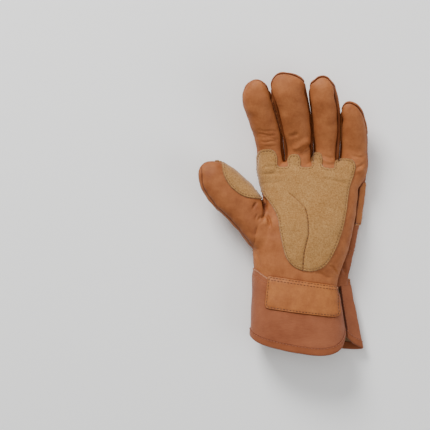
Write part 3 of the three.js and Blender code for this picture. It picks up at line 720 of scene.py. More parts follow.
# Thumb: a front and a back of the same cowhide, sewn together round its edge and set into the
# palm by a curved seam that draws the leather into folds at the crotch.
# painted shade: the thumb's cowhide is a darker copy of the palm's, standing for the shade that falls on the
# thumb
thumb_hide_painted_shade = grain_leather("waxed_cowhide_painted_shade", "#9C5E34", "#824826")
for name, side in (("thumb_front", 1), ("thumb_back", -1)):
    sheet, edge = hand_part(column("thumb"), column("thumb_front", side))
    at = sheet[0][:, :3]
    folds = (wrinkled(at, 15, 5, 0.25) + wrinkled(at, 6, 6, 0.07)
             + palm_creases(sheet[0], sheet[0][:, PLACE["thumb_front"]]))
    turned_in = by_thumb(sheet[0], edge)
    piece(name + "_leather", sheet, groove(edge) * turned_in + folds, folds * THROUGH - LEATHER_THICK,
          edge + 1.2 * (1 - turned_in), [thumb_hide_painted_shade, lining], "leather", name)

# Palm patch: a panel of split suede laid over the palm, with a rounded tab up the root of each
# finger. It is stitched down 2 mm inside its cut edge and along the line that runs round the thumb.
SUEDE_THICK = 1.3
STITCHED = 2.0  # from a laid-on piece's cut edge to its row of stitches
TABS = [  # middle, width, tip and foot
    (-15.6, 21.0, 63.4, 47.2), (10.8, 13.6, 58.6, 46.4), (33.0, 11.8, 60.4, 46.4), (59.6, 21.6, 54.6, 45.0),
]
PATCH_SIDE = [(68.4, 38), (65.4, 30), (63.2, 18), (61.0, 2), (56.6, -18), (48.6, -38), (40.6, -49.6),
              (30.4, -54.6), (18.4, -54.2), (8.2, -49), (1.4, -38), (-3.0, -18), (-5.4, -3), (-11.6, 9.6),
              (-17.4, 17.2), (-20.4, 21.4), (-34, 24)]
tabs = [(x + out * wide, notch + up * (tip - notch)) for x, wide, tip, notch in TABS
        for out, up in ((-0.5, 0), (-0.47, 0.5), (-0.36, 0.85), (-0.15, 1.0), (0.15, 1.0), (0.36, 0.85),
                        (0.47, 0.5), (0.5, 0))]
patch_outline = through(tabs + PATCH_SIDE, 5)
LIFE_LINE = [(5.8, 20.9), (11.6, 16.0), (17.5, 10.2), (21.3, 5.3), (23.3, -1.5), (24.2, -10.2), (24.2, -19.9),
             (22.3, -27.6), (20.4, -36.4), (19.4, -46.1), (18.9, -53.8)]
PATCH_CREASES = [
    (-0.9, 1.3, [(37.8, 35.4), (50.4, 32.5), (63.0, 29.6)]),
    (-0.8, 1.2, [(-20.4, 45.1), (-14, 46.4), (-7.8, 46.1)]),
    (-0.9, 1.3, [(-20.4, 39.3), (-10, 39.8), (1.9, 39.3)]),
    (-0.6, 1.4, [(-20.4, 29.6), (-9, 30.8), (1.9, 31.5)]),
    (-1.0, 0.9, LIFE_LINE),
    (0.5, 3.0, [(x - 3, y) for x, y in LIFE_LINE]),
]


def suede(name, light, dark):
    """Split cowhide, brushed to a nap: no gloss, speckled by its fibres and rubbed in patches."""
    made, tree, shader = new_material(name)
    at = node(tree, "ShaderNodeTexCoord").outputs["Object"]
    rubbed = node(tree, "ShaderNodeTexNoise", Vector=at, Scale=60.0, Detail=3.0, Roughness=0.65)
    # the nap's tufts are 0.3 mm across, and 1.3 mm here so that they show
    nap = node(tree, "ShaderNodeTexNoise", Vector=at, Scale=760.0, Detail=4.0, Roughness=0.75)
    speck = node(tree, "ShaderNodeMapRange", _0=nap.outputs["Fac"], _1=0.34, _2=0.66)
    body = node(tree, "ShaderNodeMix", {"data_type": "RGBA"}, _0=speck.outputs[0], _6=colour(dark),
                _7=colour(light))
    area = node(tree, "ShaderNodeMapRange", _0=rubbed.outputs["Fac"], _1=0.3, _2=0.7, _3=0.0, _4=0.45)
    patchy = node(tree, "ShaderNodeMix", {"data_type": "RGBA", "blend_type": "MULTIPLY"}, _0=area.outputs[0],
                  _6=body.outputs[2], _7=colour("#D8C3A2"))
    # seam dirt and painted shade along the patch's edges and its life line
    split = darker_by_seams_and_shade(tree, patchy.outputs[2], 1.2, 0.5, "#9A7550")
    tree.links.new(split, shader.inputs["Base Color"])
    shader.inputs["Roughness"].default_value = 0.95
    shader.inputs["Specular IOR Level"].default_value = 0.2
    shader.inputs["Sheen Weight"].default_value = 0.25
    shader.inputs["Sheen Roughness"].default_value = 0.5
    bump = node(tree, "ShaderNodeBump", Height=nap.outputs["Fac"], Strength=0.6, Distance=0.0007)
    tree.links.new(bump.outputs[0], shader.inputs["Normal"])
    return made


split_suede = suede("brushed_split_suede", "#B98C56", "#8F6534")


def laid_on(edge, thick=SUEDE_THICK):
    """Top of a piece laid on the skin: its edge is rounded over and its row of stitches sinks in."""
    rounded = thick * np.sqrt(1 - (1 - np.clip(edge / 1.1, 0, 1)) ** 2)
    return 0.25 + rounded - 0.45 * np.exp(-(((edge - STITCHED) / 0.7) ** 2))


def patch_field(rows):
    """Inside the palm patch."""
    return area_field(rows[:, :2], patch_outline)


patch_sheet, patch_edge = hand_part(column("front"), column("thumb", -1), patch_field)
at = patch_sheet[0][:, :3]
patch_relief = (creased(at[:, :2], PALM_CREASES) + creased(at[:, :2], PATCH_CREASES)
                + wrinkled(at, 17, 3, 0.22))
folds = patch_relief + wrinkled(at, 5, 8, 0.07)
# the life line's seam and crease are darkened as seam dirt and painted shade
life = line_distance(at[:, :2], through(LIFE_LINE, 5))[0]  # darker in that seam too
piece("palm_patch_suede", patch_sheet, laid_on(patch_edge) + folds, folds * THROUGH + 0.1,
      np.minimum(patch_edge, life), [split_suede], "suede", "palm_patch")

# Thumb patch: a wedge of the same suede that wraps the thumb from its outer side to the crotch,
# where the thumb and the finger rub on tools.
WEDGE = {
    "front": [(-60, 60), (-59.4, 46), (-57.4, 37), (-51.6, 27.6), (-42.8, 20.0), (-34.8, 16.4), (-24, 15.0),
              (-14, 15)],
    "back": [(-60, 60), (-66, 52), (-72, 44), (-74, 34), (-70, 24), (-62, 14.4), (-50, 13), (-36, 13.4),
             (-24, 14.5), (-14, 15)],
}


def wedge_field(rows):
    """Inside the suede wedge, by its edge on the front or on the back of the thumb."""
    on_front = step_up(-2.0, 2.0, rows[:, PLACE["thumb_front"]])
    fields = [area_field(rows[:, :2], np.concatenate([through(WEDGE[k]), [(0, 60)]]))
              for k in ("back", "front")]
    return fields[0] * (1 - on_front) + fields[1] * on_front


wedge_sheet, wedge_edge = hand_part(column("thumb"), wedge_field)
at = wedge_sheet[0][:, :3]
folds = (palm_creases(wedge_sheet[0], wedge_sheet[0][:, PLACE["thumb_front"]]) + wrinkled(at, 15, 5, 0.25)
         + wrinkled(at, 5, 9, 0.07))
piece("thumb_patch_suede", wedge_sheet, laid_on(wedge_edge) + folds, folds * THROUGH + 0.1, wedge_edge,
      [split_suede], "suede", "thumb_patch")

# Side panel: cowhide again, the whole back of the index finger and a strip down the thumb side to
# the wrist. Its edge is folded into a welt, sewn over the edge of the canvas with two rows.
BACK_SEAM = [(-19, -78), (-15.4, -61), (-12.6, -52), (-9, -44), (-7.8, -36), (-8.6, -28), (-12, -20),
             (-15.2, -11), (-16, 2), (-15.8, 14), (-15.2, 26), (-13.6, 36), (-9, 44.4), (-3.4, 52), (1.3, 60),
             (0, 72), (-1.5, 82), (-3.7, 92), (-6.9, 102), (-10, 112), (-11.8, 118), (-13.4, 124),
             (-15.6, 130), (-18, 140)]
WELT = {"wide": 5.2, "high": 0.8, "rows": (1.3, 4.0), "end": 57.0}  # it ends between the fingers
WRIST_FOLDS = [
    (-1.2, 1.4, [(-19, -44), (-24, -33), (-29, -26)]),
    (-0.9, 1.5, [(-14, -38), (-19, -30), (-23, -20)]),
    (0.8, 2.0, [(-18, -36), (-23, -28), (-27, -20)]),
]
back_seam = through(BACK_SEAM)


def leather_side(rows):
    """Above 0 on the thumb's side of the seam down the back."""
    return area_field(rows[:, :2], np.concatenate([back_seam, [(FAR_OUT, 140), (FAR_OUT, -78)]]))


def welted(rows):
    """How high the welt stands over the leather, sunk a little where its rows of stitches run."""
    across = leather_side(rows)
    high = WELT["high"] * step_up(0, 0.7, across) * (1 - step_up(WELT["wide"] - 0.9, WELT["wide"], across))
    for row in WELT["rows"]:
        high = high - 0.35 * np.exp(-(((across - row) / 0.55) ** 2))
    return high * (1 - step_up(WELT["end"] - 5, WELT["end"], rows[:, 1]))


def faced(made, chosen, finish):
    """Gives the chosen faces of a panel's outer side another finish."""
    made.data.materials.append(finish)
    index = np.zeros(len(made.data.polygons), np.int32)
    made.data.polygons.foreach_get("material_index", index)
    index[: len(chosen)][chosen] = len(made.data.materials) - 1
    made.data.polygons.foreach_set("material_index", index)


side_sheet, side_edge = hand_part(column("behind"), column("thumb", -1), leather_side, wrist_end)
at = side_sheet[0][:, :3]
side_folds = (wrinkled(at, 14, 11, 0.25) + wrinkled(at, 6, 12, 0.06) + creased(at[:, :2], WRIST_FOLDS)
              + welted(side_sheet[0]) + palm_creases(side_sheet[0], -side_sheet[0][:, PLACE["behind"]]))
side_made = piece("side_panel_leather", side_sheet, groove(side_edge) + side_folds,
                  side_folds * THROUGH - LEATHER_THICK, side_edge, [cowhide, lining], "leather", "side_panel")
pale_cowhide = grain_leather("pale_waxed_cowhide", "#AB6936", "#8F5129", 0.55)
across = leather_side(side_sheet[0])[side_sheet[1]].mean(1)
faced(side_made, (across < WELT["wide"] - 0.5) & (at[side_sheet[1], 1].mean(1) < WELT["end"]), pale_cowhide)

# Back: heavy cotton duck, dyed reddish brown. A band of elastic is sewn behind it at the wrist
# with two rows of stitches, and draws it into deep uneven folds that fan out to both sides.
TIP_LINES = {"middle": 110.6, "ring": 103.6, "little": 77.8}
ELASTIC = (-38.4, -35.2)  # the two rows across the wrist
GATHERS = [  # depth (hills above 0), half width, then a line in plan
    (-1.9, 1.6, [(62.0, -60.0), (58.6, -48.6), (56.4, -40.9), (55.8, -34.0), (57.0, -26.0)]),
    (-2.1, 1.8, [(50.6, -42.0), (51.6, -32.7), (52.6, -22.1), (53.1, -8.5)]),
    (-2.1, 1.4, [(45.4, -53.0), (42.6, -43.1), (42.6, -35.2), (41.8, -27.0)]),
    (-2.3, 1.7, [(40.8, -39.6), (37.9, -28.3), (35.2, -20.1), (33.6, -8.3)]),
    (-1.4, 2.2, [(44.6, -26.0), (42.8, -17.0), (41.0, -6.5)]),
    (-1.2, 1.0, [(35.8, -50.0), (34.6, -41.0), (33.6, -33.0)]),
    (-2.5, 1.4, [(27.6, -56.0), (29.3, -45.8), (30.7, -37.5), (31.4, -27.5)]),
    (-1.5, 1.1, [(20.2, -48.0), (20.7, -39.0), (21.6, -30.0)]),
    (-1.6, 1.9, [(28.6, -38.9), (23.7, -29.4), (17.0, -20.6), (12.6, -10.1)]),
    (-2.6, 1.8, [(-7.8, -65.5), (4.2, -54.3), (11.9, -46.6), (15.9, -41.5), (18.2, -32.1)]),
    (-3.0, 2.2, [(18.3, -41.1), (12.9, -30.4), (8.5, -22.7), (6.0, -16.1), (3.6, -6.6)]),
    (-2.4, 1.7, [(-12.6, -61.0), (-4.4, -50.6), (0.8, -44.4), (2.2, -38.2), (0.2, -29.0)]),
    (-1.5, 1.1, [(6.2, -48.6), (7.8, -40.0), (6.4, -29.6)]),
    (-1.9, 1.5, [(2.2, -41.6), (-4.0, -31.6), (-8.2, -23.4), (-12.6, -13.0)]),
]


def cotton_duck(name, light, dark, threads=0.0011):
    """Heavy duck canvas in a plain weave: matt, with a slubby thread now and then.

    The dye is rubbed paler on the threads that stand up. Down in seams the colour is darker as seam dirt and
    painted shade, and in folds and under overhanging edges as painted shade.
    """
    made, tree, shader = new_material(name)
    at = node(tree, "ShaderNodeTexCoord").outputs["Object"]
    # threads are 0.5 mm apart on the cloth, and about twice that here so that they show
    warp, weft, steep = (node(tree, "ShaderNodeTexWave", {"bands_direction": way}, Vector=at,
                              Scale=math.pi / 10 / threads, Distortion=0.6, Detail=1.0) for way in "XYZ")
    # on the sides, which turn away from X, the upright threads are told apart by Z
    normal = node(tree, "ShaderNodeTexCoord").outputs["Normal"]
    sideways = node(tree, "ShaderNodeSeparateXYZ", Vector=normal)
    turned = node(tree, "ShaderNodeMath", {"operation": "ABSOLUTE"}, _0=sideways.outputs["X"])
    on_side = node(tree, "ShaderNodeMath", {"operation": "GREATER_THAN"}, _0=turned.outputs[0], _1=0.7)
    upright = node(tree, "ShaderNodeMix", {"data_type": "FLOAT"}, _0=on_side.outputs[0],
                   _2=warp.outputs["Fac"], _3=steep.outputs["Fac"])
    weave = node(tree, "ShaderNodeMath", {"operation": "MAXIMUM"}, _0=upright.outputs[0],
                 _1=weft.outputs["Fac"])
    stretched = node(tree, "ShaderNodeMapping", Vector=at, Scale=(190.0, 1300.0, 500.0))
    slub = node(tree, "ShaderNodeTexNoise", Vector=stretched.outputs[0], Scale=1.0, Detail=2.0)
    faded = node(tree, "ShaderNodeTexNoise", Vector=at, Scale=45.0, Detail=3.0)
    sum_of = node(tree, "ShaderNodeMath", {"operation": "MULTIPLY_ADD"}, _0=slub.outputs["Fac"], _1=0.45,
                  _2=faded.outputs["Fac"])
    tone = node(tree, "ShaderNodeMapRange", _0=sum_of.outputs[0], _1=0.45, _2=1.0)
    body = node(tree, "ShaderNodeMix", {"data_type": "RGBA"}, _0=tone.outputs[0], _6=colour(dark),
                _7=colour(light))
    raised = node(tree, "ShaderNodeMapRange", _0=weave.outputs[0], _1=0.3, _2=1.0, _3=0.3, _4=0.0)
    woven = node(tree, "ShaderNodeMix", {"data_type": "RGBA", "blend_type": "MULTIPLY"}, _0=raised.outputs[0],
                 _6=body.outputs[2], _7=colour("#7A4A34"))
    # painted shade and seam dirt: darker along seams, in the gathers' folds and beside the palm's edge
    cloth = darker_by_seams_and_shade(tree, woven.outputs[2], 1.6, 0.8, "#7C4A36")
    tree.links.new(cloth, shader.inputs["Base Color"])
    shader.inputs["Roughness"].default_value = 0.93
    shader.inputs["Specular IOR Level"].default_value = 0.2
    shader.inputs["Sheen Weight"].default_value = 0.15
    relief = node(tree, "ShaderNodeMath", {"operation": "MULTIPLY_ADD"}, _0=slub.outputs["Fac"], _1=0.5,
                  _2=weave.outputs[0])
    bump = node(tree, "ShaderNodeBump", Height=relief.outputs[0], Strength=0.45, Distance=0.0005)
    tree.links.new(bump.outputs[0], shader.inputs["Normal"])
    return made


duck = cotton_duck("reddish_brown_cotton_duck", "#A0603F", "#85492D")


def tip_field(rows):
    """Above 0 past the line where a finger's leather tip begins."""
    lines = np.array([400, TIP_LINES["middle"], TIP_LINES["ring"], TIP_LINES["little"]])
    finger_of = rows[:, PLACE["finger"]].round().astype(int)
    return np.where(finger_of > 0, rows[:, 1] - lines[np.clip(finger_of, 0, 3)], -20.0)


def gathered(at):
    """The folds that the elastic draws in the canvas, and the small puckers along its two rows."""
    across = 1 - step_up(58, 66, at[:, 0])
    folds = 1.25 * creased(at[:, :2], GATHERS, 8.0, 0.4)
    for row in ELASTIC:
        beside = np.exp(-(((at[:, 1] - row) / 1.5) ** 2))
        folds = folds + beside * (0.35 * np.sin(at[:, 0] * 2 * np.pi / 3.9 + row) - 0.35)
    return folds * across


canvas_sheet, canvas_edge = hand_part(column("behind"), column("thumb", -1), lambda rows: -leather_side(rows),
                                      lambda rows: -tip_field(rows), wrist_end)
at = canvas_sheet[0][:, :3]
from_palm = palm_creases(canvas_sheet[0], -canvas_sheet[0][:, PLACE["behind"]]) * step_up(60, 64, at[:, 0])
canvas_folds = wrinkled(at, 16, 13, 0.22) + gathered(at) + from_palm
# down the hand's little-finger side the palm's edge stands over the canvas: the groove is deeper there and
# the canvas's colour is darkened as a painted shadow under that edge
heel_side = step_up(48, 54, at[:, 0]) * (1 - step_up(30, 44, at[:, 1]))
# canvas_shade is painted shade: it lowers the seam attribute in the gathers' folds and beside the palm's
# edge, so the colour darkens there
canvas_shade = np.minimum(canvas_edge / (1 + 1.2 * heel_side), np.maximum(0.35, 1.8 + 0.38 * gathered(at)))
flat_seam = np.where(-tip_field(canvas_sheet[0]) < canvas_edge + 0.3, 0.3, 0.9)  # the tips are sewn on flat
canvas_groove = groove(canvas_edge, flat_seam + 1.3 * heel_side, 1.1 + 1.2 * heel_side)
back_made = piece("back_canvas", canvas_sheet, canvas_groove + canvas_folds,
                  canvas_folds + canvas_groove * heel_side - LEATHER_THICK, canvas_shade, [duck, lining],
                  "canvas", "back_panel")

# Fingertips: caps of the same cowhide on the backs of three fingers. Each is sewn to the canvas
# across the finger and to the palm's leather round the tip, with the seams turned in.
tips_sheet, tips_edge = hand_part(column("behind"), column("thumb", -1), lambda rows: -leather_side(rows),
                                  tip_field)
rows, faces = tips_sheet
for k, name in ((1, "middle"), (2, "ring"), (3, "little")):
    mine = rows[faces[:, 0], PLACE["finger"]].round() == k
    used, own = np.unique(faces[mine], return_inverse=True)
    at, edge = rows[used, :3], tips_edge[used]
    folds = wrinkled(at, 13, 14 + k, 0.25)
    flat_seam = np.where(tip_field(rows[used]) < edge + 0.3, 0.3, 0.7)
    piece("fingertip_leather_" + name, (rows[used], own.reshape(-1, 3)),
          0.2 + groove(edge, flat_seam) + folds, folds * THROUGH - LEATHER_THICK, edge, [cowhide, lining],
          "leather", "tip_" + name)

# Knuckle strap: a band of paler cowhide across the back over the knuckles. Its raw edge lies over
# the gathers, sewn down with one row, and its other edge is turned in and seamed to the canvas.
STRAP = (-10.6, 31.6)
STRAP_THICK = 1.1


def strap_field(rows):
    """Inside the strap."""
    at = rows[:, :2]
    beside = -area_field(at, np.concatenate([back_seam + (2.0, 0), [(FAR_OUT, 140), (FAR_OUT, -78)]]))
    return np.minimum(np.minimum(at[:, 1] - STRAP[0], STRAP[1] - at[:, 1]), beside)


# a cut and rubbed edge, where pale fibres stand out much lighter than the face
raw_leather = fibrous("raw_leather_edge", "#C08A5A", "#9C6638", 900.0, 0.6, 0.0005)
RAW_EDGE = 1.1  # mm
strap_sheet, strap_edge = hand_part(column("behind"), column("thumb", -1), strap_field, gap=0.05)
at = strap_sheet[0][:, :3]
strap_folds = wrinkled(at, 16, 13, 0.22) + 0.5 * gathered(at)
seamed = -0.8 * np.exp(-(((STRAP[1] - at[:, 1]) / 0.9) ** 2))  # its turned-in edge
strap_made = piece("knuckle_strap_leather", strap_sheet,
                   laid_on(strap_edge, STRAP_THICK) + strap_folds + seamed,
                   strap_folds + seamed * 0.5 + 0.15, strap_edge, [pale_cowhide], "leather", "knuckle_strap")
faced(strap_made, at[strap_sheet[1], 1].mean(1) < STRAP[0] + RAW_EDGE, raw_leather)

# Cuff: a stiff sleeve of the same duck, rubber-backed so that it stands open round the wrist. It
# is slit down the little-finger side, where its corners are rounded off.
CUFF = np.array([  # y, left, seam, right, bottom, top, middle, depth of the gathers
    [-142, -32.6, 62.8, 78.6, 0, 46.4, 23, 0], [-127, -32.4, 61.8, 76.6, 0, 45.8, 22.5, 0],
    [-112, -32.2, 60.4, 74, 0, 45.0, 22, 0], [-98, -31.8, 58.4, 71, 0, 44.2, 21.5, 0],
    [-83, -31.2, 56.6, 68, 0, 43.4, 21, 0], [-67, -30.4, 55, 65.8, 0.2, 42.8, 20.5, 0],
    [-50, -30.2, 54.6, 65.4, 0.6, 42.6, 20.5, 0],
])
CUFF_ENDS = np.array([  # angle round the wrist from the slit, where the cuff begins, where it ends
    [4, -70.6, -118], [14, -70.2, -123.6], [30, -69.4, -130.4], [46, -68, -134.8], [62, -66.8, -136.8],
    [78, -65.4, -136.4], [94, -64, -133.8], [110, -62.8, -130.8], [125, -61.8, -128.2], [140, -58, -125.4],
    [155, -54, -122], [175, -52, -117.4], [195, -52, -117], [215, -54, -121], [240, -57, -125.2],
    [270, -60, -128.4],
    [300, -62, -130.4], [322, -62.4, -131], [336, -62.4, -129.6], [346, -62.6, -126], [354, -63, -119.6],
])
HEM_WIDE = 8.0
UNDER_HEM = 1.2  # how far the duck reaches in under the hem
CUFF_THICK = 1.9
CUFF_MIDDLE = 22  # height of its side seams
SLIT = (4, 354)  # angles of the slit's two edges
DEGREE = 0.9  # mm of the cuff to one degree beside the slit
AROUND = np.unique(np.r_[np.linspace(SLIT[0], 40, 60), np.linspace(40, 320, 250),
                         np.linspace(320, SLIT[1], 60)])


def grid_faces(columns, rows):
    """Triangles of a grid of points, columns of rows."""
    i, j = np.meshgrid(np.arange(columns - 1), np.arange(rows - 1), indexing="ij")
    a = (i * rows + j).ravel()
    return np.concatenate([np.stack([a, a + rows, a + rows + 1], 1), np.stack([a, a + rows + 1, a + 1], 1)])


def cuff_sheet(start, end, steps):
    """The cuff's outer face between two lines round it: its rows hold points and normals."""
    angle = AROUND[:, None] + np.zeros((1, steps + 1))
    ends = eased(CUFF_ENDS[:, 0], CUFF_ENDS[:, 1:], AROUND)
    share = np.linspace(0, 1, steps + 1)[None]
    y = start(ends)[:, None] * (1 - share) + end(ends)[:, None] * share
    at = section(CUFF, y, angle)
    faces = grid_faces(*y.shape)
    points = at.reshape(-1, 3)
    normals = normals_of(points, faces)
    if (normals[:, 2] * (points[:, 2] - CUFF_MIDDLE)).sum() < 0:
        normals, faces = -normals, faces[:, ::-1]
    return np.concatenate([points, normals], 1), faces, y.shape


cuff_rows, cuff_faces, shape = cuff_sheet(lambda ends: ends[:, 0],
                                          lambda ends: ends[:, 1] + HEM_WIDE - UNDER_HEM, 96)
across = np.repeat(np.minimum(AROUND - SLIT[0], SLIT[1] - AROUND) * DEGREE, shape[1])
down = np.tile(np.linspace(0, 1, shape[1]), shape[0])
ends = eased(CUFF_ENDS[:, 0], CUFF_ENDS[:, 1:], AROUND)
long = np.repeat(ends[:, 0] - ends[:, 1] - HEM_WIDE, shape[1])
from_top = down * long
cuff_edge = np.minimum(np.minimum(across, from_top), 6.0)
at = cuff_rows[:, :3]
drawn_in = -1.5 * np.exp(-((from_top / 5.0) ** 2))  # its sewn edge is pulled in to the hand
CUFF_ROW = 5.4  # from its sewn edge to the row of stitches
cuff_folds = wrinkled(at, 30, 21, 0.35) + wrinkled(at, 12, 22, 0.1) + drawn_in - 0.3
turned = 0.5 * np.exp(-((from_top / 1.6) ** 2)) - 0.35 * np.exp(-(((from_top - CUFF_ROW) / 0.8) ** 2))
cuff_made = piece("cuff_canvas", (cuff_rows, cuff_faces),
                  cuff_folds + turned - 0.5 * np.exp(-((across / 0.6) ** 2)), cuff_folds - CUFF_THICK,
                  np.where(from_top < 3, 3, cuff_edge), [duck, lining], "canvas", "cuff")
fray = fibrous("frayed_canvas_fold", "#C28A66", "#9A5F3D", 900.0, 0.6, 0.0005)
faced(cuff_made, (from_top + 0.3 * wrinkled(at, 2.5, 23))[cuff_faces].mean(1) < RAW_EDGE, fray)

# Hem: the cuff's end is bound with a folded strip of orange-brown twill, sewn through close to
# its upper edge.
HEM_PROUD = 0.5
binding = cotton_duck("orange_brown_twill_binding", "#9C5A37", "#824628", 0.0009)
HEM_EDGE = HEM_WIDE - 0.1  # from the cuff's end to the strip's own edge
FOLD = 1.45  # how much of its width goes round the cuff's end
TUCK = 0.25  # how deep its edges sink into the duck
HEM_ROW = HEM_WIDE - 1.4  # from the cuff's end to the row of stitches
half_thick = (CUFF_THICK + 2 * HEM_PROUD) / 2


def hem_face(t):
    """Distance from the cuff's end, and height over the duck, a share t of the way from the strip's edge."""
    return HEM_EDGE - (HEM_WIDE - 2.4) * t, (HEM_PROUD + TUCK) * math.sqrt(min(1, t * 8)) - TUCK


turn = np.linspace(0, np.pi, 11)[1:-1]
profile = [hem_face(t) for t in np.linspace(0, 1, 9)]
profile += [(FOLD - FOLD * math.sin(t), HEM_PROUD - half_thick + half_thick * math.cos(t)) for t in turn]
profile += [(hem_face(t)[0], -CUFF_THICK - hem_face(t)[1]) for t in np.linspace(1, 0, 9)]
profile = np.array(profile)
y = ends[:, 1][:, None] + profile[None, :, 0]
angle = AROUND[:, None] + 0 * y
base = section(CUFF, y, angle)
whole_rows, _, whole_shape = cuff_sheet(lambda ends: 0 * ends[:, 0] + CUFF[0, 0],
                                        lambda ends: 0 * ends[:, 0] + CUFF[-1, 0], 59)
out = whole_rows[:, 3:6].reshape(*whole_shape, 3).mean(1)
out /= np.linalg.norm(out, axis=1, keepdims=True)
ripple = wrinkled(base.reshape(-1, 3), 30, 21, 0.35).reshape(y.shape) - 0.3
points = base + out[:, None] * (profile[None, :, 1] + ripple)[..., None]
columns, steps = y.shape
ring = np.arange(steps)
after, last = np.roll(ring, -1), (columns - 1) * steps
closing = [np.stack([ring, after, 0 * ring + columns * steps], 1),
           np.stack([after + last, ring + last, 0 * ring + columns * steps + 1], 1)]
i, j = np.meshgrid(np.arange(columns - 1), ring, indexing="ij")
a, b = (i * steps + j).ravel(), (i * steps + (j + 1) % steps).ravel()
hem_faces = np.concatenate([np.stack([a, b, b + steps], 1), np.stack([a, b + steps, a + steps], 1)] + closing)
hem_points = np.concatenate([points.reshape(-1, 3), points[:1].mean(1), points[-1:].mean(1)])
volume = np.einsum("ij,ij->i", hem_points[hem_faces[:, 0]],
                   np.cross(hem_points[hem_faces[:, 1]], hem_points[hem_faces[:, 2]])).sum()
if volume < 0:
    hem_faces = hem_faces[:, ::-1]
hem_seam = np.r_[np.tile(np.abs(profile[:, 0] - HEM_EDGE), columns), 3, 3]
hem = finished("hem_binding", hem_points, hem_faces, hem_seam, [binding], "trim", "hem", sharp=60)

# Label patch: a plain piece of pale cowhide on the front of the cuff, with one row of stitches
# round it and a second along its top. It is bare.
LABEL = {"left": -18, "right": 54.8, "near": -92, "far": -58.6, "fall": 10, "lean": 2.6, "corner": 5}
left, right, near, far, corner = (LABEL[k] for k in ("left", "right", "near", "far", "corner"))
middle = (left + right) / 2
SECOND_ROW = 4.6  # from the label's upper edge to its second row of stitches


def fall(x):
    """How far the label's upper edge has dropped at x."""
    return LABEL["fall"] * float(step_up(left, right, x))


label_outline = [(left + LABEL["lean"], far), (middle, far - fall(middle)),
                 (right, far - fall(right)), (right + 1, near + corner - 0.8 * fall(right)),
                 (right - corner * 0.25, near + corner * 0.25 - 0.8 * fall(right)),
                 (right - corner, near - 0.8 * fall(right - corner)),
                 (middle, near - 0.9 * fall(middle)), (left + corner, near),
                 (left + corner * 0.25, near + corner * 0.25), (left, near + corner)]
front_sheet = cuff_sheet(lambda ends: ends[:, 0] + 9, lambda ends: ends[:, 1], 90)[:2]
front_sheet = cut(front_sheet, front_sheet[0][:, 2] - 30)
label_sheet = cut(front_sheet, area_field(front_sheet[0][:, :2], label_outline))
label_edge = area_field(label_sheet[0][:, :2], label_outline)
at = label_sheet[0][:, :3]
start = np.interp(at[:, 0], [-30, -12, 5, 20, 40, 56], [-52, -60.5, -62.8, -64.4, -67.4, -70.4])
overhang = step_up(-5, 3.5, at[:, 1] - start)  # its top is sewn down to the palm, past the cuff's edge
folds = (wrinkled(at, 30, 21, 0.35) + wrinkled(at, 12, 22, 0.1) - 0.3 + wrinkled(at, 9, 31, 0.1)
         - (2.6 + 0.8 * step_up(20, 50, at[:, 0])) * overhang)
piece("label_patch_leather", label_sheet, laid_on(label_edge, 1.1) + folds, folds + 0.15, label_edge,
      [pale_cowhide], "leather", "label_patch")

# Stitches: bonded thread, brown round the patches, dark on the life line, the strap and the label,
# tan along the welt and rust on the canvas. Geometry Nodes set one short bead after another.
THREAD = 0.75  # mm across
STITCH, PITCH = 2.3, 3.1  # length of one stitch, and from one to the next
LIFT = 0.12  # how far a stitch's middle stands over the surface


def bonded_thread(name, light, dark):
    """Bonded nylon sewing thread: twisted, smooth, with a dull shine along it."""
    made, tree, shader = new_material(name)
    at = node(tree, "ShaderNodeTexCoord").outputs["Object"]
    twist = node(tree, "ShaderNodeTexNoise", Vector=at, Scale=900.0)
    body = node(tree, "ShaderNodeMix", {"data_type": "RGBA"}, _0=twist.outputs["Fac"], _6=colour(dark),
                _7=colour(light))
    tree.links.new(body.outputs[2], shader.inputs["Base Color"])
    shader.inputs["Roughness"].default_value = 0.6
    return made


THREADS = {
    "dark": bonded_thread("dark_bonded_thread", "#63381D", "#40200F"),
    "brown": bonded_thread("brown_bonded_thread", "#7E5630", "#5E3C1F"),
    "tan": bonded_thread("tan_bonded_thread", "#B97F50", "#8E5A34"),
    "rust": bonded_thread("rust_bonded_thread", "#A5633F", "#763F26"),
}
runs = {name: [] for name in THREADS}


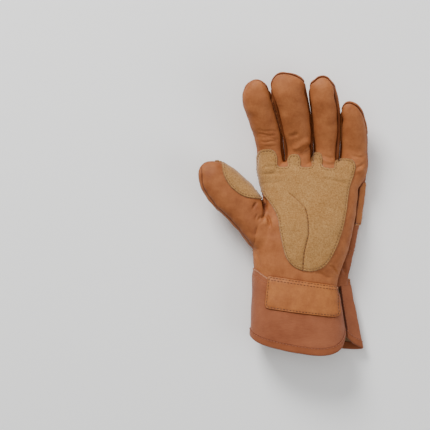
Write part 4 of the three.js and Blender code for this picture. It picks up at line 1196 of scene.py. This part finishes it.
def stitch_tree(made_of):
    """A node tree that sets stitches along the edges of a mesh, by its points' normals."""
    tree = bpy.data.node_groups.new("stitches", "GeometryNodeTree")
    tree.interface.new_socket("Path", socket_type="NodeSocketGeometry", in_out="INPUT")
    for name in ("Pitch", "Length", "Thickness", "Uneven"):
        tree.interface.new_socket(name, socket_type="NodeSocketFloat", in_out="INPUT")
    tree.interface.new_socket("Stitches", socket_type="NodeSocketGeometry", in_out="OUTPUT")
    given = tree.nodes.new("NodeGroupInput").outputs
    run = node(tree, "GeometryNodeMeshToCurve", Mesh=given["Path"])
    even = node(tree, "GeometryNodeResampleCurve", {"mode": "LENGTH"}, Curve=run.outputs[0],
                Length=given["Pitch"])
    along = node(tree, "GeometryNodeInputTangent")
    up = node(tree, "GeometryNodeInputNamedAttribute", {"data_type": "FLOAT_VECTOR"}, Name="up")
    lie = node(tree, "FunctionNodeAxesToRotation", {"primary_axis": "X", "secondary_axis": "Z"},
               _0=along.outputs[0], _1=up.outputs[0])
    wobble = node(tree, "FunctionNodeRandomValue", {"data_type": "FLOAT"}, Seed=7)
    spread = node(tree, "ShaderNodeMath", {"operation": "MULTIPLY_ADD"}, _0=wobble.outputs[1],
                  _1=given["Uneven"], _2=1.0)
    half_long = node(tree, "ShaderNodeMath", {"operation": "MULTIPLY"}, _0=given["Length"], _1=0.5)
    half_thick = node(tree, "ShaderNodeMath", {"operation": "MULTIPLY"}, _0=given["Thickness"], _1=0.5)
    size = node(tree, "ShaderNodeCombineXYZ", X=half_long.outputs[0], Y=half_thick.outputs[0],
                Z=half_thick.outputs[0])
    bead = node(tree, "GeometryNodeMeshUVSphere", Segments=8, Rings=4, Radius=1.0)
    smooth = node(tree, "GeometryNodeSetShadeSmooth", _0=bead.outputs[0])
    stitch = node(tree, "GeometryNodeTransform", Geometry=smooth.outputs[0], Scale=size.outputs[0])
    placed = node(tree, "GeometryNodeInstanceOnPoints", Points=even.outputs[0], Instance=stitch.outputs[0],
                  Rotation=lie.outputs[0])
    uneven = node(tree, "ShaderNodeCombineXYZ", X=spread.outputs[0], Y=1.0, Z=1.0)
    tree.links.new(uneven.outputs[0], placed.inputs["Scale"])
    real = node(tree, "GeometryNodeRealizeInstances", Geometry=placed.outputs[0])
    coloured = node(tree, "GeometryNodeSetMaterial", Geometry=real.outputs[0], Material=made_of)
    node(tree, "NodeGroupOutput", _0=coloured.outputs[0])
    return tree


def surface_of(*names):
    """A ray target made of these pieces, in mm of the pattern."""
    parts = []
    for name in names:
        mesh = bpy.data.objects[name].data
        co = np.empty(len(mesh.vertices) * 3, np.float32)
        mesh.vertices.foreach_get("co", co)
        tri = np.empty(len(mesh.polygons) * 3, np.int32)
        mesh.polygons.foreach_get("vertices", tri)
        parts.append((co.reshape(-1, 3) * 1000 - SHIFT, tri.reshape(-1, 3)))
    points, faces = joined(parts)
    return BVHTree.FromPolygons(points.tolist(), faces.tolist())


def dropped(line, surface):
    """A line in plan laid on a surface from above, as points with normals."""
    found = []
    for x, y in line:
        hit, normal, _, _ = surface.ray_cast(Vector((x, y, 120)), Vector((0, 0, -1)))
        if hit is None:
            found.append(None)
            continue
        if normal.z < 0:
            normal = -normal
        found.append((np.array(hit + normal * LIFT), np.array(normal)))
    return found


def even_line(line):
    """A line in plan at even steps of about 1 mm."""
    line = np.asarray(line, float)
    run = np.r_[0, np.cumsum(np.hypot(*np.diff(line, axis=0).T))]
    at = np.linspace(0, run[-1], max(3, int(run[-1])))
    return np.stack([np.interp(at, run, line[:, 0]), np.interp(at, run, line[:, 1])], 1)


def level_line(sheet, field, height):
    """Where a field of a sheet crosses 0, as joined runs of points and normals at a height over the skin."""
    rows, faces = sheet
    met, _, place, _ = crossings(np.column_stack([rows, height]), faces, field)
    links = {}
    for a, b in place.T:
        links.setdefault(a, []).append(b)
        links.setdefault(b, []).append(a)
    left = set(links)
    made = []
    while left:
        start = next((k for k in sorted(left) if len(links[k]) == 1), min(left))
        run, here = [start], start
        left.discard(start)
        while True:
            onward = [k for k in links[here] if k in left]
            if not onward:
                break
            here = onward[0]
            left.discard(here)
            run.append(here)
        if len(run) > 6:
            normal = met[run, 3:6]
            made.append(list(zip(met[run, :3] + normal * (met[run, -1:] + LIFT), normal)))
    return made


# on the palm: round the patch 2 mm inside its edge, along the life line, and round the wedge
runs["brown"] += level_line(patch_sheet, patch_edge - STITCHED, laid_on(patch_edge) + patch_relief)
surface = surface_of("palm_patch_suede")
runs["dark"].append(dropped(even_line(through(LIFE_LINE[3:])), surface))
wedge_height = laid_on(wedge_edge) + wrinkled(wedge_sheet[0][:, :3], 15, 5, 0.25)
runs["brown"] += level_line(wedge_sheet, wedge_edge - STITCHED, wedge_height)
# on the back: one row inside the strap's raw edge
strap_place = strap_sheet[0][:, 1] - STRAP[0] - STITCHED
runs["dark"] += level_line(strap_sheet, strap_place, laid_on(strap_edge, STRAP_THICK) + strap_folds)
# on the cuff: two rows along the label's top, one round the rest, and one along the hem
surface = surface_of("label_patch_leather", "cuff_canvas", "hem_binding")
label_height = laid_on(label_edge, 1.1) + folds
runs["dark"] += level_line(label_sheet, label_edge - STITCHED, label_height)
upper = far - SECOND_ROW
top = [(left + LABEL["lean"] + 1.5, upper), (middle, upper - fall(middle)),
       (right - 1.5, upper - fall(right))]
runs["dark"].append(dropped(even_line(through(top)), surface))
cuff_height = cuff_folds + turned
runs["rust"] += level_line((cuff_rows, cuff_faces), np.where(across > 1.5, from_top - CUFF_ROW, -1.0),
                           cuff_height)
# the welt's two rows, and the elastic's two rows across the canvas and the leather
side_rows = np.column_stack([side_sheet[0], side_folds + groove(side_edge)])
along_welt = cut((side_rows, side_sheet[1]), WELT["end"] - 1 - side_rows[:, 1])
for row in WELT["rows"]:
    runs["tan"] += level_line(along_welt, leather_side(along_welt[0]) - row, along_welt[0][:, -1])
for row in ELASTIC:
    for sheet, height in ((canvas_sheet, canvas_folds), (side_sheet, side_folds)):
        runs["rust"] += level_line(sheet, sheet[0][:, 1] - row, height)
hem_row = cuff_sheet(lambda ends: ends[:, 1] + HEM_ROW, lambda ends: ends[:, 1] + HEM_ROW - 0.4, 1)[0][::2]
hem_high = HEM_PROUD - 0.2 + wrinkled(hem_row[:, :3], 30, 21, 0.35)
runs["rust"].append([(row[:3] + row[3:6] * high, row[3:6]) for row, high in zip(hem_row, hem_high)])

for finish, thread in THREADS.items():
    path_points, path_normals, path_edges = [], [], []
    for run in runs[finish]:
        previous = None
        for place in run:
            if place is None:
                previous = None
                continue
            path_points.append(place[0])
            path_normals.append(place[1])
            if previous is not None:
                path_edges.append((previous, len(path_points) - 1))
            previous = len(path_points) - 1
    path_mesh = bpy.data.meshes.new("stitch_paths")
    path_mesh.from_pydata([tuple((p + SHIFT) / 1000) for p in path_points], path_edges, [])
    up = path_mesh.attributes.new("up", "FLOAT_VECTOR", "POINT")
    up.data.foreach_set("vector", np.array(path_normals, np.float32).ravel())
    paths = bpy.data.objects.new("stitch_paths", path_mesh)
    bpy.context.collection.objects.link(paths)
    sewing = paths.modifiers.new("sewing", "NODES")
    sewing.node_group = stitch_tree(thread)
    sockets = {s.name: s.identifier for s in sewing.node_group.interface.items_tree if s.in_out == "INPUT"}
    for name, value in (("Pitch", PITCH / 1000), ("Length", STITCH / 1000), ("Thickness", THREAD / 1000),
                        ("Uneven", 0.12)):
        sewing[sockets[name]] = value
    sewn = bpy.data.meshes.new_from_object(paths.evaluated_get(bpy.context.evaluated_depsgraph_get()))
    bpy.data.objects.remove(paths)
    stitches = bpy.data.objects.new("stitches_" + finish, sewn)
    bpy.context.collection.objects.link(stitches)
    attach(stitches, "root")
